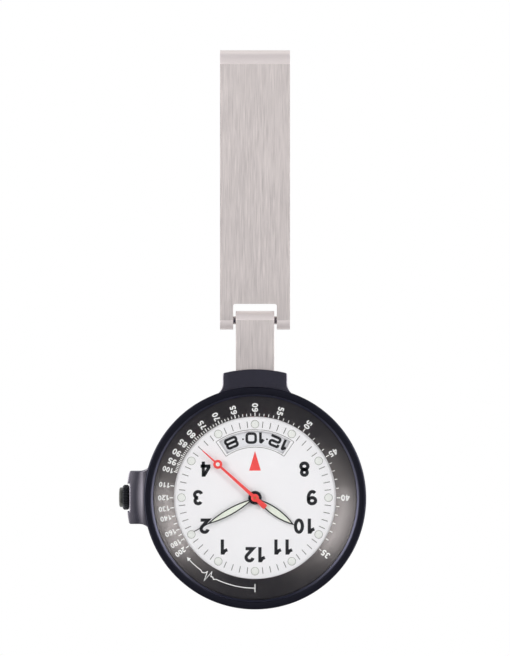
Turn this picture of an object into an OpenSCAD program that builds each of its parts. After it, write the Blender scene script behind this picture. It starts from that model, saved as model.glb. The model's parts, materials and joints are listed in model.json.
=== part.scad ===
// Nurse's fob watch that hangs from a garment clip, with its quartz movement.
// The watch is laid out on the bench with its dial up: x to the right of the
// hanging watch, y up the strap, z out of the dial, z = 0 on the case back.
// hang() then turns it to its worn position, with its origin in the clip's bend.

/* [Clip and link] */
// Width of the clip strip
clip_w = 12; // [10:0.5:16]
// Height of the clip, from the top of its bend to the bottom of its knuckles
clip_h = 48; // [44:1:60]
// Thickness of the clip and link strip
strip_t = 0.8; // [0.6:0.05:0.9]
// Inside radius of the bend that sits on the garment edge
bend_in_r = 1.7; // [1.4:0.1:2.4]
// Length of the straight back leaf
leaf_l = 30; // [24:1:34]
// Gap between the bead on the back leaf and the front leaf
leaf_gap = 0.6; // [0.3:0.1:1.5]
// Length of the flared lip below the back leaf
lip_l = 3; // [2:0.5:4]
// Angle of the flared lip
lip_angle = 32; // [20:1:45]
// Outside radius of the rolled knuckles on the clip pin
knuckle_r = 1.6; // [1.55:0.05:1.8]
// Radius of the clip pin
clip_pin_r = 0.7; // [0.5:0.05:0.75]
// Width of the notch between the clip's knuckles
notch_w = 7.5; // [7:0.1:8.5]
// Height of the notch above the clip pin
notch_h = 2.8; // [2.4:0.1:4]
// Corner radius of the notch
notch_corner = 0.35; // [0.2:0.05:0.8]
// Width of the link strip
link_w = 6.6; // [5:0.1:7]
// Distance between the link's two pins
link_pitch = 10.1; // [9:0.1:14]
// Outside radius of the link's roll on the spring bar
lug_roll_r = 1.4; // [1.2:0.05:1.5]
// Radius of the spring bar
bar_r = 0.55; // [0.45:0.05:0.6]

/* [Case] */
// Outside diameter of the bezel
case_d = 38; // [37:0.5:42]
// Width of the bezel's face
bezel_w = 1.25; // [1:0.05:1.6]
// Width of the glass gasket
gasket_w = 0.35; // [0.25:0.05:0.5]
// Thickness of the glass
glass_t = 1.5; // [1:0.1:2]
// Thickness of the case back
back_t = 0.8; // [0.6:0.1:1.2]
// Reach of the hood and the crown guard past the bezel
lug_reach = 3; // [2.9:0.1:4]
// Width of the strap hood
hood_w = 11; // [10.6:0.1:13]
// Fillet between hood and case
hood_fillet = 1.9; // [1:0.1:2.5]
// Width of the crown guard
guard_w = 9; // [8:0.1:11]
// Fillet between crown guard and case
guard_fillet = 1.3; // [0.8:0.1:2]
// Distance of the spring bar from the bezel's edge
lug_out = 1.3; // [1.2:0.05:1.5]

/* [Crown] */
// Diameter of the crown's knurled wheel
crown_d = 4.3; // [3.6:0.1:4.6]
// Length of the knurled wheel
crown_l = 1.1; // [1:0.1:1.4]
// Diameter of the crown's cap
cap_d = 3.4; // [3:0.1:3.5]
// Length of the crown's cap
cap_l = 0.65; // [0.5:0.05:0.9]
// Number of ridges on the crown
crown_ridges = 28; // [20:1:36]
// Radius of the crown tube
tube_r = 1.1; // [1:0.05:1.2]
// Radius of the winding stem
stem_r = 0.6; // [0.5:0.05:0.65]

/* [Dial and hands] */
// Width of the pulsometer ring
flange_w = 3.55; // [3:0.05:3.8]
// Thickness of the dial
dial_t = 0.35; // [0.3:0.05:0.5]
// Length of the hour hand
hour_l = 8.2; // [6:0.1:9]
// Greatest width of the hour hand
hour_w = 1.2; // [0.9:0.05:1.6]
// Length of the minute hand
minute_l = 12; // [10:0.1:12.4]
// Greatest width of the minute hand
minute_w = 1; // [0.8:0.05:1.4]
// Length of the leaf of the minute hand
minute_leaf_l = 9.5; // [7:0.1:9.8]
// Length of the seconds hand
second_l = 12.1; // [10:0.1:12.6]
// Distance of the ring on the seconds hand from its pivot
second_ring_at = 8.6; // [7:0.1:9]
// Outside radius of the ring on the seconds hand
second_ring_r = 0.78; // [0.6:0.02:1]
// Radius of the twelve luminous dots
dot_r = 0.65; // [0.4:0.05:0.8]
// Distance of the luminous dots from the dial's visible edge
dot_in = 1.3; // [1:0.1:1.6]
// Inner radius of the date window
window_in_r = 8.9; // [8.7:0.05:9.2]
// Outer radius of the date window
window_out_r = 11.4; // [11:0.05:11.7]
// Half angle of the date window
window_half = 32.5; // [20:0.5:35]

/* [Movement] */
// Diameter of the movement
movement_d = 25.6; // [25.6:0.1:26.4]
// Thickness of the main plate
plate_t = 1; // [1:0.1:1.3]
// Room between train bridge and main plate
train_h = 1.5; // [1.5:0.1:2]
// Room between main plate and dial
motion_h = 1.35; // [1.35:0.05:1.7]
// Room between dial and glass
hands_h = 1.7; // [1.6:0.05:2.2]
// Diameter of the button cell
battery_d = 6.8; // [5.8:0.1:6.8]
// Height of the button cell
battery_h = 2.15; // [1.6:0.05:2.15]
// Teeth on the date disc, one a day
date_teeth = 31; // [31]

/* [Hidden] */
$fn = 72;

// Clearances
hinge_gap = 0.05;
seat_gap = 0.01;
run_gap = 0.02;
side_gap = 0.2;
swing_gap = 0.3;

// Levels, counted from the case back outwards
bridge_gap = 0.7;
bridge_t = 0.4;
z_back = back_t;
z_bridge0 = z_back + bridge_gap;
z_bridge1 = z_bridge0 + bridge_t;
z_plate0 = z_bridge1 + train_h;
z_plate1 = z_plate0 + plate_t;
z_dial0 = z_plate1 + motion_h;
z_dial1 = z_dial0 + dial_t;
z_glass0 = z_dial1 + hands_h;
z_glass1 = z_glass0 + glass_t;
bezel_proud = 0.1;
z_top = z_glass1 + bezel_proud;
neck_h = 0.7;
z_mid1 = z_glass0 - neck_h;
flange_step = 0.6;
z_shelf = z_dial1 + flange_step;
rim_h = 1.1;
back_gasket_t = 0.3;
z_rim = z_back + rim_h;
z_step = z_rim + back_gasket_t;

// Radii of the case, counted from the bezel inwards
bezel_r = case_d / 2;
band_in = 0.2;
band_r = bezel_r - band_in;
glass_bore_r = bezel_r - bezel_w;
glass_r = glass_bore_r - gasket_w;
flange_r = glass_r + 0.05;
flange_bore_r = flange_r + hinge_gap;
neck_r = flange_bore_r + 0.7;
dial_show_r = glass_r - flange_w + 0.05;
dial_lap = 1.1;
dial_r = dial_show_r + dial_lap;
bore_r = dial_r + 0.4;
back_bore_r = bore_r + 1.2;
rim_w = 0.95;
edge = 0.6;
crisp = 0.3;

// Hood, guard and hinges
lug_r = bezel_r + lug_reach;
lug_y = bezel_r + lug_out;
pin_y = lug_y + link_pitch;
lug_h = 5.4;
z_lug0 = z_mid1 - 0.1 - lug_h;
z_lug1 = z_mid1 - 0.1;
apron_t = 0.8;
slot_w = link_w + 2 * side_gap;
slot_floor = lug_y - lug_roll_r - swing_gap;
z_slot = z_lug1 - apron_t;
z_bar = z_slot - swing_gap - lug_roll_r;
z_face = z_bar + lug_roll_r;
z_pin = z_face - knuckle_r;
bar_tip_r = 0.38;
bar_tip_l = 1.2;
lug_edge = 0.5;

// Clip
bend_out_r = bend_in_r + strip_t;
bend_y = pin_y - knuckle_r + clip_h - bend_out_r;
bend_z = z_face - bend_out_r;
bead_proud = 0.2;
bead_r = strip_t / 2 + bead_proud;
leaf_close = asin((2 * bend_in_r - leaf_gap - bead_proud) / leaf_l);
seat_y = bend_y + bend_in_r;

// Crown and stem
z_stem = z_plate0 + plate_t / 2;
crown_in_x = lug_r - 0.4;
guard_cut = crown_d / 2 + 0.27;
crown_recess_r = tube_r + 0.35;
crown_recess = 0.5;
tube_out_x = crown_in_x + 0.45;
stem_out_x = crown_in_x + 0.9;
groove_x = 9.6;
groove_w = 0.5;
stem_core_r = 0.3;
square_x = 8.9;
stem_in_x = 7.2;
slide_pinion_x = 7.6;
slide_pinion_l = 1;
stem_slot = stem_r + 0.15;
lever_reach = [1.6, 3.5];

// Movement radii
movement_r = movement_d / 2;
ledge_r = movement_r - 0.6;
holder_t = 0.5;
collar_r = movement_r + hinge_gap + holder_t;
holder_r = bore_r - 0.1;
disc_out_r = movement_r - 0.9;
disc_in_r = 8.25;
disc_tip_r = 7.9;
disc_t = 0.2;
plate_rim_r = disc_out_r + 0.1;
date_seat_in_r = 9.4;
post_r = 0.25;
pivot_r = 0.1;
pillar_r = 0.5;
date_pillar_at = 6.6;
foot_r = 0.25;
foot_at = (movement_r + plate_rim_r) / 2;
foot_clear = 12;
foot_angles = [90 - window_half - foot_clear, 270 - window_half - foot_clear];

// Gear train: teeth and modules
wheel_t = 0.15;
rotor_teeth = 8;
mid_teeth = 48;
rotor_m = 0.08;
mid_pinion_teeth = 10;
second_teeth = 50;
second_m = 0.09;
second_pinion_teeth = 8;
third_teeth = 60;
third_m = 0.1;
third_pinion_teeth = 8;
centre_teeth = 64;
cannon_teeth = 12;
minute_teeth = 36;
motion_m = 0.125;
minute_pinion_teeth = 10;
hour_teeth = 40;
setting_teeth = 20;
date_pinion_teeth = 18;
date_wheel_teeth = 36;
date_m = 0.17;

function pitch(a, b, m) = (a + b) * m / 2;
third_at = pitch(second_pinion_teeth, third_teeth, third_m);
centre_m = 2 * third_at / (third_pinion_teeth + centre_teeth);
minute_at = pitch(cannon_teeth, minute_teeth, motion_m);
hour_m = 2 * minute_at / (minute_pinion_teeth + hour_teeth);

function polar(r, a) = [r * cos(a), r * sin(a)];
function facing(p, q) = atan2(q[1] - p[1], q[0] - p[0]);
hub_p = [0, 0];
mid_p = polar(pitch(mid_pinion_teeth, second_teeth, second_m), 100);
rotor_p = mid_p + polar(pitch(rotor_teeth, mid_teeth, rotor_m), 70);
third_p = polar(third_at, 215);
minute_p = [-minute_at, 0];
setting_p = minute_p - [pitch(minute_teeth, setting_teeth, motion_m), 0];
date_p = [pitch(date_pinion_teeth, date_wheel_teeth, date_m), 0];

// Wheel levels: the train counts from the bridge, the motion work from the plate
z_second = z_bridge1 + 0.1;
z_third = z_bridge1 + 0.4;
z_mid = z_bridge1 + 0.52;
z_centre = z_bridge1 + 0.8;
z_minute = z_plate1 + 0.1;
z_hour = z_plate1 + 0.38;
z_date_wheel = z_plate1 + 0.58;
z_disc = z_plate1 + 0.8;
z_date_plate = z_disc + disc_t + 0.05;
date_plate_t = 0.15;
finger_l = 3.5;

// Hand axis: nested tubes from the seconds arbor outwards
second_arbor_r = 0.15;
centre_in_r = 0.2;
centre_out_r = 0.36;
cannon_r = 0.58;
hour_in_r = cannon_r + 0.03;
hour_out_r = 0.9;
hand_t = 0.15;
lume_t = 0.04;
hub_r = 1.175;
second_hub_r = 0.575;
z_hour_hand = z_dial1 + 0.25;
z_minute_hand = z_hour_hand + 0.35;
z_second_hand = z_minute_hand + 0.35;
hub_lift = 0.08;
hour_time = 305;
minute_time = 61;
second_time = 132;

// Battery and electronics
battery_r = battery_d / 2;
battery_p = [5.5, -6];
insulator_t = 0.15;
clamp_t = 0.1;
clamp_w = 1.6;
clamp_leg = 0.3;
z_battery1 = z_plate0 - insulator_t;
z_battery0 = z_battery1 - battery_h;
board_p = [5.8, -1];
board_size = [5, 6.4];
board_t = 0.3;
z_board = z_plate0 - board_t;
chip_size = 2;
chip_h = 0.5;
quartz_r = 0.7;
quartz_l = 4.6;
stator_t = 0.45;
z_stator = z_plate0 - stator_t;
core_t = 0.4;
core_w = 1;
coil_r = 1;
coil_y = 8.9;
coil_x0 = -4.6;
coil_x1 = 3.7;
core_x0 = -6.3;
core_x1 = 5.4;
z_coil = z_stator - core_t / 2;
rotor_r = 0.6;
rotor_hole_r = 0.85;
screw_r = 0.35;
screw_head_r = 0.7;
screw_head_h = 0.3;
bridge_pillar_r = 0.65;
bridge_pad_r = 0.8;
bridge_hub_r = 4.4;
bridge_pillars = [[3.9, 3], [-5.2, 3.2], [1.2, -5]];

// From the bench to the worn position
module hang() {
    translate([0, bend_z, -seat_y])
        rotate([90, 0, 0])
            children();
}

module ring(r_out, r_in, z0, z1) {
    translate([0, 0, z0])
        linear_extrude(z1 - z0)
            difference() {
                circle(r_out);
                circle(r_in);
            }
}

module disc(r, z0, z1) {
    translate([0, 0, z0])
        cylinder(r = r, h = z1 - z0);
}

module turned(points) {
    rotate_extrude()
        polygon(points);
}

module rod_x(r, x0, x1, y, z) {
    translate([x0, y, z])
        rotate([0, 90, 0])
            cylinder(r = r, h = x1 - x0);
}

module put(p) {
    translate([p[0], p[1], 0])
        children();
}

// A profile in the y-z plane, carried across the strap
module across(w) {
    rotate([90, 0, 90])
        linear_extrude(w, center = true)
            children();
}

// A bar between two points, seen from the dial
module bar(p, q, w) {
    put(p)
        rotate(facing(p, q))
            translate([0, -w / 2])
                square([norm(q - p), w]);
}

// Straight-flanked teeth: root, tip, tip, root, as radius and share of a tooth
function tooth_points(n, m) = [
    for (i = [0:n - 1])
        for (p = [[n / 2 - 1.2, -0.29], [n / 2 + 0.85, -0.12], [n / 2 + 0.85, 0.12], [n / 2 - 1.2, 0.29]])
            polar(p[0] * m, (i + p[1]) * 360 / n)
];

module toothed(n, m, z0, z1, turn = 0) {
    translate([0, 0, z0])
        rotate(turn)
            linear_extrude(z1 - z0)
                polygon(tooth_points(n, m));
}

// A point of the back leaf, turned in towards the front leaf
function closed(p) = [
    p[0] * cos(leaf_close) + p[1] * sin(leaf_close),
    p[1] * cos(leaf_close) - p[0] * sin(leaf_close)
];

// Everything inside one face of the strip: round over the bend, straight down both leaves
module between_leaves(r, l) {
    circle(r);
    polygon([[0, r], [-l, r], closed([-l, -r]), closed([0, -r])]);
}

// Rounded bead that pinches the cloth, and the lip below it that flares open
module lip() {
    rotate(-leaf_close)
        translate([-leaf_l, strip_t / 2 - bend_out_r]) {
            circle(bead_r);
            rotate(lip_angle)
                translate([-lip_l, -strip_t / 2])
                    square([lip_l, strip_t]);
        }
}

module clip_profile() {
    difference() {
        union() {
            translate([bend_y, bend_z]) {
                difference() {
                    between_leaves(bend_out_r, leaf_l);
                    between_leaves(bend_in_r, leaf_l + strip_t);
                }
                lip();
            }
            translate([pin_y, z_face - strip_t])
                square([bend_y - pin_y - leaf_l / 2, strip_t]);
            translate([pin_y, z_pin])
                circle(knuckle_r);
        }
        translate([pin_y, z_pin])
            circle(clip_pin_r + seat_gap);
    }
}

module notch_outline() {
    y0 = pin_y - 2 * knuckle_r;
    h = pin_y + notch_h - y0;
    translate([-notch_w / 2, y0])
        square([notch_w, h - notch_corner]);
    translate([notch_corner - notch_w / 2, y0])
        square([notch_w - 2 * notch_corner, h]);
    for (side = [-1, 1])
        translate([side * (notch_w / 2 - notch_corner), y0 + h - notch_corner])
            circle(notch_corner);
}

module clip_strip() hang() color("#cdc3c1")
    difference() {
        across(clip_w)
            clip_profile();
        translate([0, 0, z_pin - 2 * knuckle_r])
            linear_extrude(4 * knuckle_r)
                notch_outline();
    }

module clip_pin() hang() color("#b9afb0")
    rod_x(clip_pin_r, -clip_w / 2, clip_w / 2, pin_y, z_pin);

module link() hang() color("#cdc3c1")
    across(link_w)
        difference() {
            union() {
                translate([lug_y, z_face - strip_t])
                    square([link_pitch, strip_t]);
                translate([pin_y, z_pin])
                    circle(knuckle_r);
                translate([lug_y, z_bar])
                    circle(lug_roll_r);
            }
            translate([pin_y, z_pin])
                circle(clip_pin_r + hinge_gap);
            translate([lug_y, z_bar])
                circle(bar_r + hinge_gap);
        }

module spring_bar() hang() color("#a9a5a6") {
    half = slot_w / 2 - seat_gap;
    rod_x(bar_r, -half, half, lug_y, z_bar);
    rod_x(bar_tip_r, -half - bar_tip_l, half + bar_tip_l, lug_y, z_bar);
}

// A lug that stands out of the case band, filleted into it on both sides
module lug_outline(w, fillet) {
    cx = w / 2 + fillet;
    cy = sqrt(pow(band_r + fillet, 2) - pow(cx, 2));
    translate([-w / 2, 0])
        square([w, lug_r]);
    for (side = [0, 1])
        mirror([side, 0])
            difference() {
                polygon([[0, 0], [cx, cy], [w / 2, cy]]);
                translate([cx, cy])
                    circle(fillet);
            }
}

module lugs() {
    intersection() {
        translate([0, 0, z_lug0])
            linear_extrude(lug_h) {
                lug_outline(hood_w, hood_fillet);
                rotate(90)
                    lug_outline(guard_w, guard_fillet);
            }
        turned([
            [0, z_lug0], [lug_r - lug_edge, z_lug0], [lug_r, z_lug0 + lug_edge],
            [lug_r, z_lug1 - lug_edge], [lug_r - lug_edge, z_lug1], [0, z_lug1]
        ]);
    }
}

module case_middle() hang() color("#3a3740")
    difference() {
        union() {
            turned([
                [0, z_back], [band_r - edge, z_back], [band_r, z_back + edge], [band_r, z_mid1],
                [neck_r, z_mid1], [neck_r, z_glass0], [0, z_glass0]
            ]);
            lugs();
        }
        turned([
            [0, 0], [back_bore_r, 0], [back_bore_r, z_step], [bore_r, z_step], [bore_r, z_shelf],
            [flange_bore_r, z_shelf], [flange_bore_r, z_top], [0, z_top]
        ]);
        translate([-slot_w / 2, slot_floor, 0])
            cube([slot_w, lug_r, z_slot]);
        rod_x(bar_tip_r + seat_gap, -slot_w / 2 - bar_tip_l, slot_w / 2 + bar_tip_l, lug_y, z_bar);
        translate([-2 * lug_r, -guard_cut, 0])
            cube([2 * lug_r - crown_in_x + 0.1, 2 * guard_cut, z_top]);
        rod_x(tube_r + seat_gap, -lug_r, -bore_r + 1, 0, z_stem);
    }

module bezel() hang() color("#1a1a22")
    turned([
        [glass_bore_r, z_glass0], [glass_bore_r, z_top], [bezel_r - crisp, z_top],
        [bezel_r, z_top - crisp], [bezel_r, z_mid1], [neck_r + seat_gap, z_mid1],
        [neck_r + seat_gap, z_glass0]
    ]);

module crystal() hang() color([0.9, 0.92, 0.95, 0.35])
    turned([
        [0, z_glass0], [glass_r, z_glass0], [glass_r, z_glass1 - crisp],
        [glass_r - crisp, z_glass1], [0, z_glass1]
    ]);

module crystal_gasket() hang() color("#3b3a52")
    ring(glass_bore_r - seat_gap, glass_r + seat_gap, z_glass0, z_glass1);

module pulsometer_ring() hang() color("#2e2f3a") {
    foot_r1 = bore_r - 0.2;
    seat_w = 0.2;
    lip = 0.35;
    turned([
        [dial_show_r, z_dial1], [foot_r1, z_dial1], [foot_r1, z_shelf], [flange_r, z_shelf],
        [flange_r, z_glass0], [flange_r - seat_w, z_glass0], [dial_show_r, z_dial1 + lip]
    ]);
}

module case_back() hang() color("#c9c6c8")
    difference() {
        union() {
            turned([
                [0, 0], [band_r - 2 * edge, 0], [band_r - edge, edge], [band_r - edge, z_back], [0, z_back]
            ]);
            ring(back_bore_r - seat_gap, back_bore_r - rim_w, z_back, z_rim);
        }
        translate([0, -band_r, z_back])
            cube([3, 4 * edge, 2 * edge], center = true);
    }

module case_back_gasket() hang() color("#222226")
    ring(back_bore_r - seat_gap, back_bore_r - rim_w, z_rim, z_step);

module crown_tube() hang() color("#b5b1b3")
    difference() {
        rod_x(tube_r, -tube_out_x, -bore_r, 0, z_stem);
        rod_x(stem_r + hinge_gap, -tube_out_x - 1, -bore_r + 1, 0, z_stem);
    }

// Ring sector of the date window, at the top of the hanging dial
module window_outline() {
    reach = window_out_r * tan(window_half);
    intersection() {
        difference() {
            circle(window_out_r);
            circle(window_in_r);
        }
        polygon([[0, 0], [-reach, window_out_r], [reach, window_out_r]]);
    }
}

module dial() hang() color("#edebee") {
    translate([0, 0, z_dial0])
        linear_extrude(dial_t)
            difference() {
                circle(dial_r);
                circle(hour_out_r + 0.1);
                window_outline();
            }
    for (a = foot_angles)
        put(polar(foot_at, a))
            disc(foot_r, z_plate1 - plate_t / 2, z_dial0);
}

module lume_dots() hang() color("#e2e5df")
    for (i = [0:11])
        put(polar(dial_show_r - dot_in, i * 30))
            disc(dot_r, z_dial1, z_dial1 + lume_t);

module dial_washer() hang() color("#c9a45c")
    ring(2 * hour_out_r, hour_out_r + 2 * run_gap, z_dial0 - 0.1, z_dial0);

// Leaf shape between two arcs, from y0 to y1
module leaf(y0, y1, w) {
    half = (y1 - y0) / 2;
    r = (half * half + w * w / 4) / w;
    translate([0, (y0 + y1) / 2])
        intersection_for(side = [-1, 1])
            translate([side * (r - w / 2), 0])
                circle(r, $fn = 180);
}

// A hand at its time: dial angles run clockwise from the 12 at the bottom
module at_time(angle) {
    rotate(180 - angle)
        children();
}

module hub_hole(r) {
    difference() {
        children();
        circle(r);
    }
}

module hour_hand() hang() color("#15151a")
    at_time(hour_time) {
        translate([0, 0, z_hour_hand])
            linear_extrude(hand_t)
                hub_hole(hour_out_r + seat_gap) {
                    leaf(0, hour_l, hour_w);
                    circle(hub_r);
                }
        ring(hub_r, hour_out_r + seat_gap, z_hour_hand - hub_lift, z_hour_hand + hand_t + hub_lift);
    }

module hour_hand_lume() hang() color("#d5e3cf")
    at_time(hour_time)
        translate([0, 0, z_hour_hand + hand_t])
            linear_extrude(lume_t)
                difference() {
                    leaf(0.4, hour_l - 0.6, hour_w - 0.36);
                    circle(hub_r + 0.1);
                }

module minute_hand() hang() color("#15151a")
    at_time(minute_time) {
        translate([0, 0, z_minute_hand])
            linear_extrude(hand_t)
                hub_hole(cannon_r + seat_gap) {
                    leaf(0, minute_leaf_l, minute_w);
                    translate([-0.1, 0])
                        square([0.2, minute_l]);
                    circle(hub_r);
                }
        ring(hub_r, cannon_r + seat_gap, z_minute_hand - hub_lift, z_minute_hand + hand_t + hub_lift);
    }

module minute_hand_lume() hang() color("#d5e3cf")
    at_time(minute_time)
        translate([0, 0, z_minute_hand + hand_t])
            linear_extrude(lume_t)
                difference() {
                    leaf(0.4, minute_leaf_l - 0.6, minute_w - 0.36);
                    circle(hub_r + 0.1);
                }

module second_hand() hang() color("#f4555a")
    at_time(second_time) {
        tail = 2.46;
        tail_w = 1;
        root_w = 0.6;
        neck_w = 0.38;
        tip_w = 0.17;
        translate([0, 0, z_second_hand])
            linear_extrude(hand_t)
                difference() {
                    union() {
                        polygon([
                            [-tail_w / 2, -tail], [tail_w / 2, -tail], [root_w / 2, 0],
                            [neck_w / 2, second_ring_at], [tip_w / 2, second_l],
                            [-tip_w / 2, second_l], [-neck_w / 2, second_ring_at], [-root_w / 2, 0]
                        ]);
                        circle(second_hub_r);
                        translate([0, second_ring_at])
                            circle(second_ring_r);
                    }
                    circle(second_arbor_r + seat_gap);
                    translate([0, second_ring_at])
                        circle(second_ring_r - 0.35);
                }
        ring(second_hub_r, second_arbor_r + seat_gap, z_second_hand - hub_lift, z_second_hand + hand_t);
    }

module second_hand_lume() hang() color("#e2e5df")
    at_time(second_time)
        translate([0, second_ring_at, 0])
            disc(second_ring_r - 0.35 - seat_gap, z_second_hand, z_second_hand + hand_t);

// Crown axis: out of the case along -x
module along_stem() {
    translate([-crown_in_x, 0, z_stem])
        rotate([0, -90, 0])
            children();
}

module crown() hang() color("#8e8a8c")
    along_stem() {
        dome = 0.2;
        knurl_m = crown_d / (crown_ridges + 1.7);
        difference() {
            union() {
                toothed(crown_ridges, knurl_m, 0, crown_l);
                disc(cap_d / 2, crown_l, crown_l + cap_l - dome);
                translate([0, 0, crown_l + cap_l - dome])
                    cylinder(r1 = cap_d / 2, r2 = cap_d / 2 - dome, h = dome);
            }
            disc(crown_recess_r, -1, crown_recess);
            disc(stem_r + seat_gap, 0, stem_out_x - crown_in_x);
        }
    }

module crown_gasket() hang() color("#222226")
    along_stem()
        ring(crown_recess_r - seat_gap, tube_r + run_gap, 0.05, 0.4);

module stem() hang() color("#b5b1b3") {
    rod_x(stem_r, -stem_out_x, -groove_x - groove_w / 2, 0, z_stem);
    rod_x(stem_core_r, -groove_x - groove_w / 2, -groove_x + groove_w / 2, 0, z_stem);
    rod_x(stem_r, -groove_x + groove_w / 2, -square_x, 0, z_stem);
    rod_x(stem_core_r, -square_x, -stem_in_x, 0, z_stem);
}

module sliding_pinion() hang() color("#c9a45c")
    translate([-slide_pinion_x, 0, z_stem])
        rotate([0, -90, 0])
            difference() {
                toothed(10, 0.09, 0, slide_pinion_l);
                disc(stem_core_r + seat_gap, -1, slide_pinion_l + 1);
            }

module setting_lever() hang() color("#b5b1b3") {
    lever_t = 0.3;
    peg_r = groove_w / 2 - 0.1;
    end = [lever_reach[0] - groove_x, lever_reach[1]];
    z0 = z_plate0 - 0.15 - lever_t;
    put([-groove_x, 0])
        disc(peg_r, z0, z_stem - stem_core_r - 0.1);
    translate([0, 0, z0])
        linear_extrude(lever_t) {
            bar([-groove_x, 0], end, 0.9);
            put([-groove_x, 0])
                circle(0.6);
            put(end)
                circle(0.6);
        }
}

// Moulded holder: a collar around the movement, a web and an outer wall in the case
module movement_ring() hang() color("#d8d6d2")
    difference() {
        union() {
            ring(collar_r, ledge_r, z_back, z_plate0);
            ring(collar_r, movement_r + hinge_gap, z_plate0 - holder_t, z_dial0);
            ring(holder_r, movement_r, z_step, z_step + holder_t);
            ring(holder_r, holder_r - holder_t, z_step, z_dial0);
        }
        rod_x(stem_r + 0.3, -bore_r - 1, -ledge_r + 1, 0, z_stem);
    }

module main_plate() hang() color("#c9a45c") {
    difference() {
        union() {
            disc(movement_r, z_plate0, z_plate1);
            ring(disc_out_r - 0.2, date_seat_in_r, z_plate1, z_disc - 0.05);
            ring(movement_r, plate_rim_r, z_plate1, z_disc + disc_t);
        }
        disc(centre_out_r + run_gap, 0, z_top);
        for (p = [mid_p, rotor_p, third_p])
            put(p)
                disc(pivot_r + run_gap, 0, z_plate0 + 0.3);
        for (p = bridge_pillars)
            put(p)
                disc(screw_r + seat_gap, 0, z_plate0 + plate_t / 2);
        for (a = foot_angles)
            put(polar(foot_at, a))
                disc(foot_r + seat_gap, z_plate1 - plate_t / 2, z_top);
        translate([-2 * movement_r, -stem_slot, 0])
            cube([2 * movement_r - stem_in_x + 0.1, 2 * stem_slot, z_top]);
        translate([coil_x0 - 0.2, coil_y - coil_r - 0.2, 0])
            cube([coil_x1 - coil_x0 + 0.4, 2 * coil_r + 0.4, z_coil + coil_r + 0.2]);
    }
    for (p = [minute_p, setting_p, date_p])
        put(p)
            disc(post_r, z_plate1, z_date_plate);
    for (a = [90:60:270])
        put(polar(date_pillar_at, a))
            disc(pillar_r, z_plate1, z_date_plate);
}

module train_bridge() hang() color("#d4b06a")
    difference() {
        union() {
            translate([0, 0, z_bridge0])
                linear_extrude(bridge_t) {
                    circle(bridge_hub_r);
                    put(rotor_p)
                        circle(1.4);
                    for (p = bridge_pillars) {
                        bar(hub_p, p, 1.5 * bridge_pillar_r);
                        put(p)
                            circle(bridge_pad_r);
                    }
                }
            for (p = bridge_pillars)
                put(p)
                    disc(bridge_pillar_r, z_bridge0, z_plate0);
        }
        put(hub_p)
            disc(second_arbor_r + run_gap, 0, z_bridge1 + 1);
        for (p = [mid_p, rotor_p, third_p])
            put(p)
                disc(pivot_r + run_gap, 0, z_bridge1 + 1);
        for (p = bridge_pillars)
            put(p)
                disc(screw_r + seat_gap, 0, z_plate0 + 1);
    }

module bridge_screws() hang() color("#a9a5a6")
    for (p = bridge_pillars)
        put(p)
            difference() {
                union() {
                    disc(screw_head_r, z_bridge0 - screw_head_h, z_bridge0);
                    disc(screw_r, z_bridge0, z_plate0 + plate_t / 2);
                }
                translate([0, 0, z_bridge0 - screw_head_h])
                    cube([2 * screw_head_r, 0.2, 0.3], center = true);
            }

module date_disc() hang() color("#d9d9dd")
    translate([0, 0, z_disc])
        linear_extrude(disc_t)
            difference() {
                circle(disc_out_r);
                polygon([
                    for (i = [0:date_teeth - 1])
                        for (p = [[disc_tip_r, 0], [disc_in_r, 0.1], [disc_in_r, 0.75]])
                            polar(p[0], (i + p[1]) * 360 / date_teeth)
                ]);
            }

module date_plate() hang() color("#c9c6c8")
    ring(disc_in_r + 0.15, hour_out_r + 0.3, z_date_plate, z_date_plate + date_plate_t);

module date_jumper() hang() color("#b5b1b3") {
    base = polar(6.7, 125);
    nose = polar(7.5, 105);
    put(base)
        disc(0.6, z_plate1, z_disc + disc_t);
    translate([0, 0, z_disc])
        linear_extrude(disc_t) {
            bar(base, nose, 0.25);
            put(nose)
                circle(0.22);
        }
}

module post_wheel() {
    difference() {
        children();
        disc(post_r + 0.03, 0, z_top);
    }
}

module date_driving_wheel() hang() color("#e0d8c0")
    put(date_p)
        post_wheel() {
            toothed(date_wheel_teeth, date_m, z_date_wheel, z_date_wheel + wheel_t,
                facing(date_p, hub_p) + 180 / date_wheel_teeth);
            disc(0.6, z_date_wheel, z_disc + disc_t - 0.05);
            translate([0, 0, z_date_wheel + wheel_t])
                linear_extrude(z_disc + disc_t - 0.05 - z_date_wheel - wheel_t)
                    bar(hub_p, polar(finger_l, -100), 0.5);
        }

module hour_wheel() hang() color("#d4b06a")
    difference() {
        union() {
            toothed(hour_teeth, hour_m, z_hour, z_hour + wheel_t, facing(hub_p, minute_p) + 180 / hour_teeth);
            toothed(date_pinion_teeth, date_m, z_hour + wheel_t, z_date_wheel + wheel_t, facing(hub_p, date_p));
            disc(hour_out_r, z_hour, z_hour_hand + hand_t + hub_lift);
        }
        disc(hour_in_r, 0, z_top);
    }

module minute_wheel() hang() color("#d4b06a")
    put(minute_p)
        post_wheel() {
            toothed(minute_teeth, motion_m, z_minute, z_minute + 0.2);
            toothed(minute_pinion_teeth, hour_m, z_minute + 0.2, z_hour + wheel_t + 0.05);
        }

module cannon_pinion() hang() color("#b5b1b3")
    difference() {
        union() {
            toothed(cannon_teeth, motion_m, z_minute - 0.05, z_minute + 0.25,
                facing(hub_p, minute_p) + 180 / cannon_teeth);
            disc(cannon_r, z_minute - 0.05, z_minute_hand + hand_t + hub_lift);
        }
        disc(centre_out_r + seat_gap, 0, z_top);
    }

module centre_wheel() hang() color("#d4b06a")
    difference() {
        union() {
            toothed(centre_teeth, centre_m, z_centre, z_centre + wheel_t, facing(hub_p, third_p));
            disc(centre_out_r, z_centre, z_minute_hand + hand_t + hub_lift);
        }
        disc(centre_in_r, 0, z_top);
    }

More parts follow.
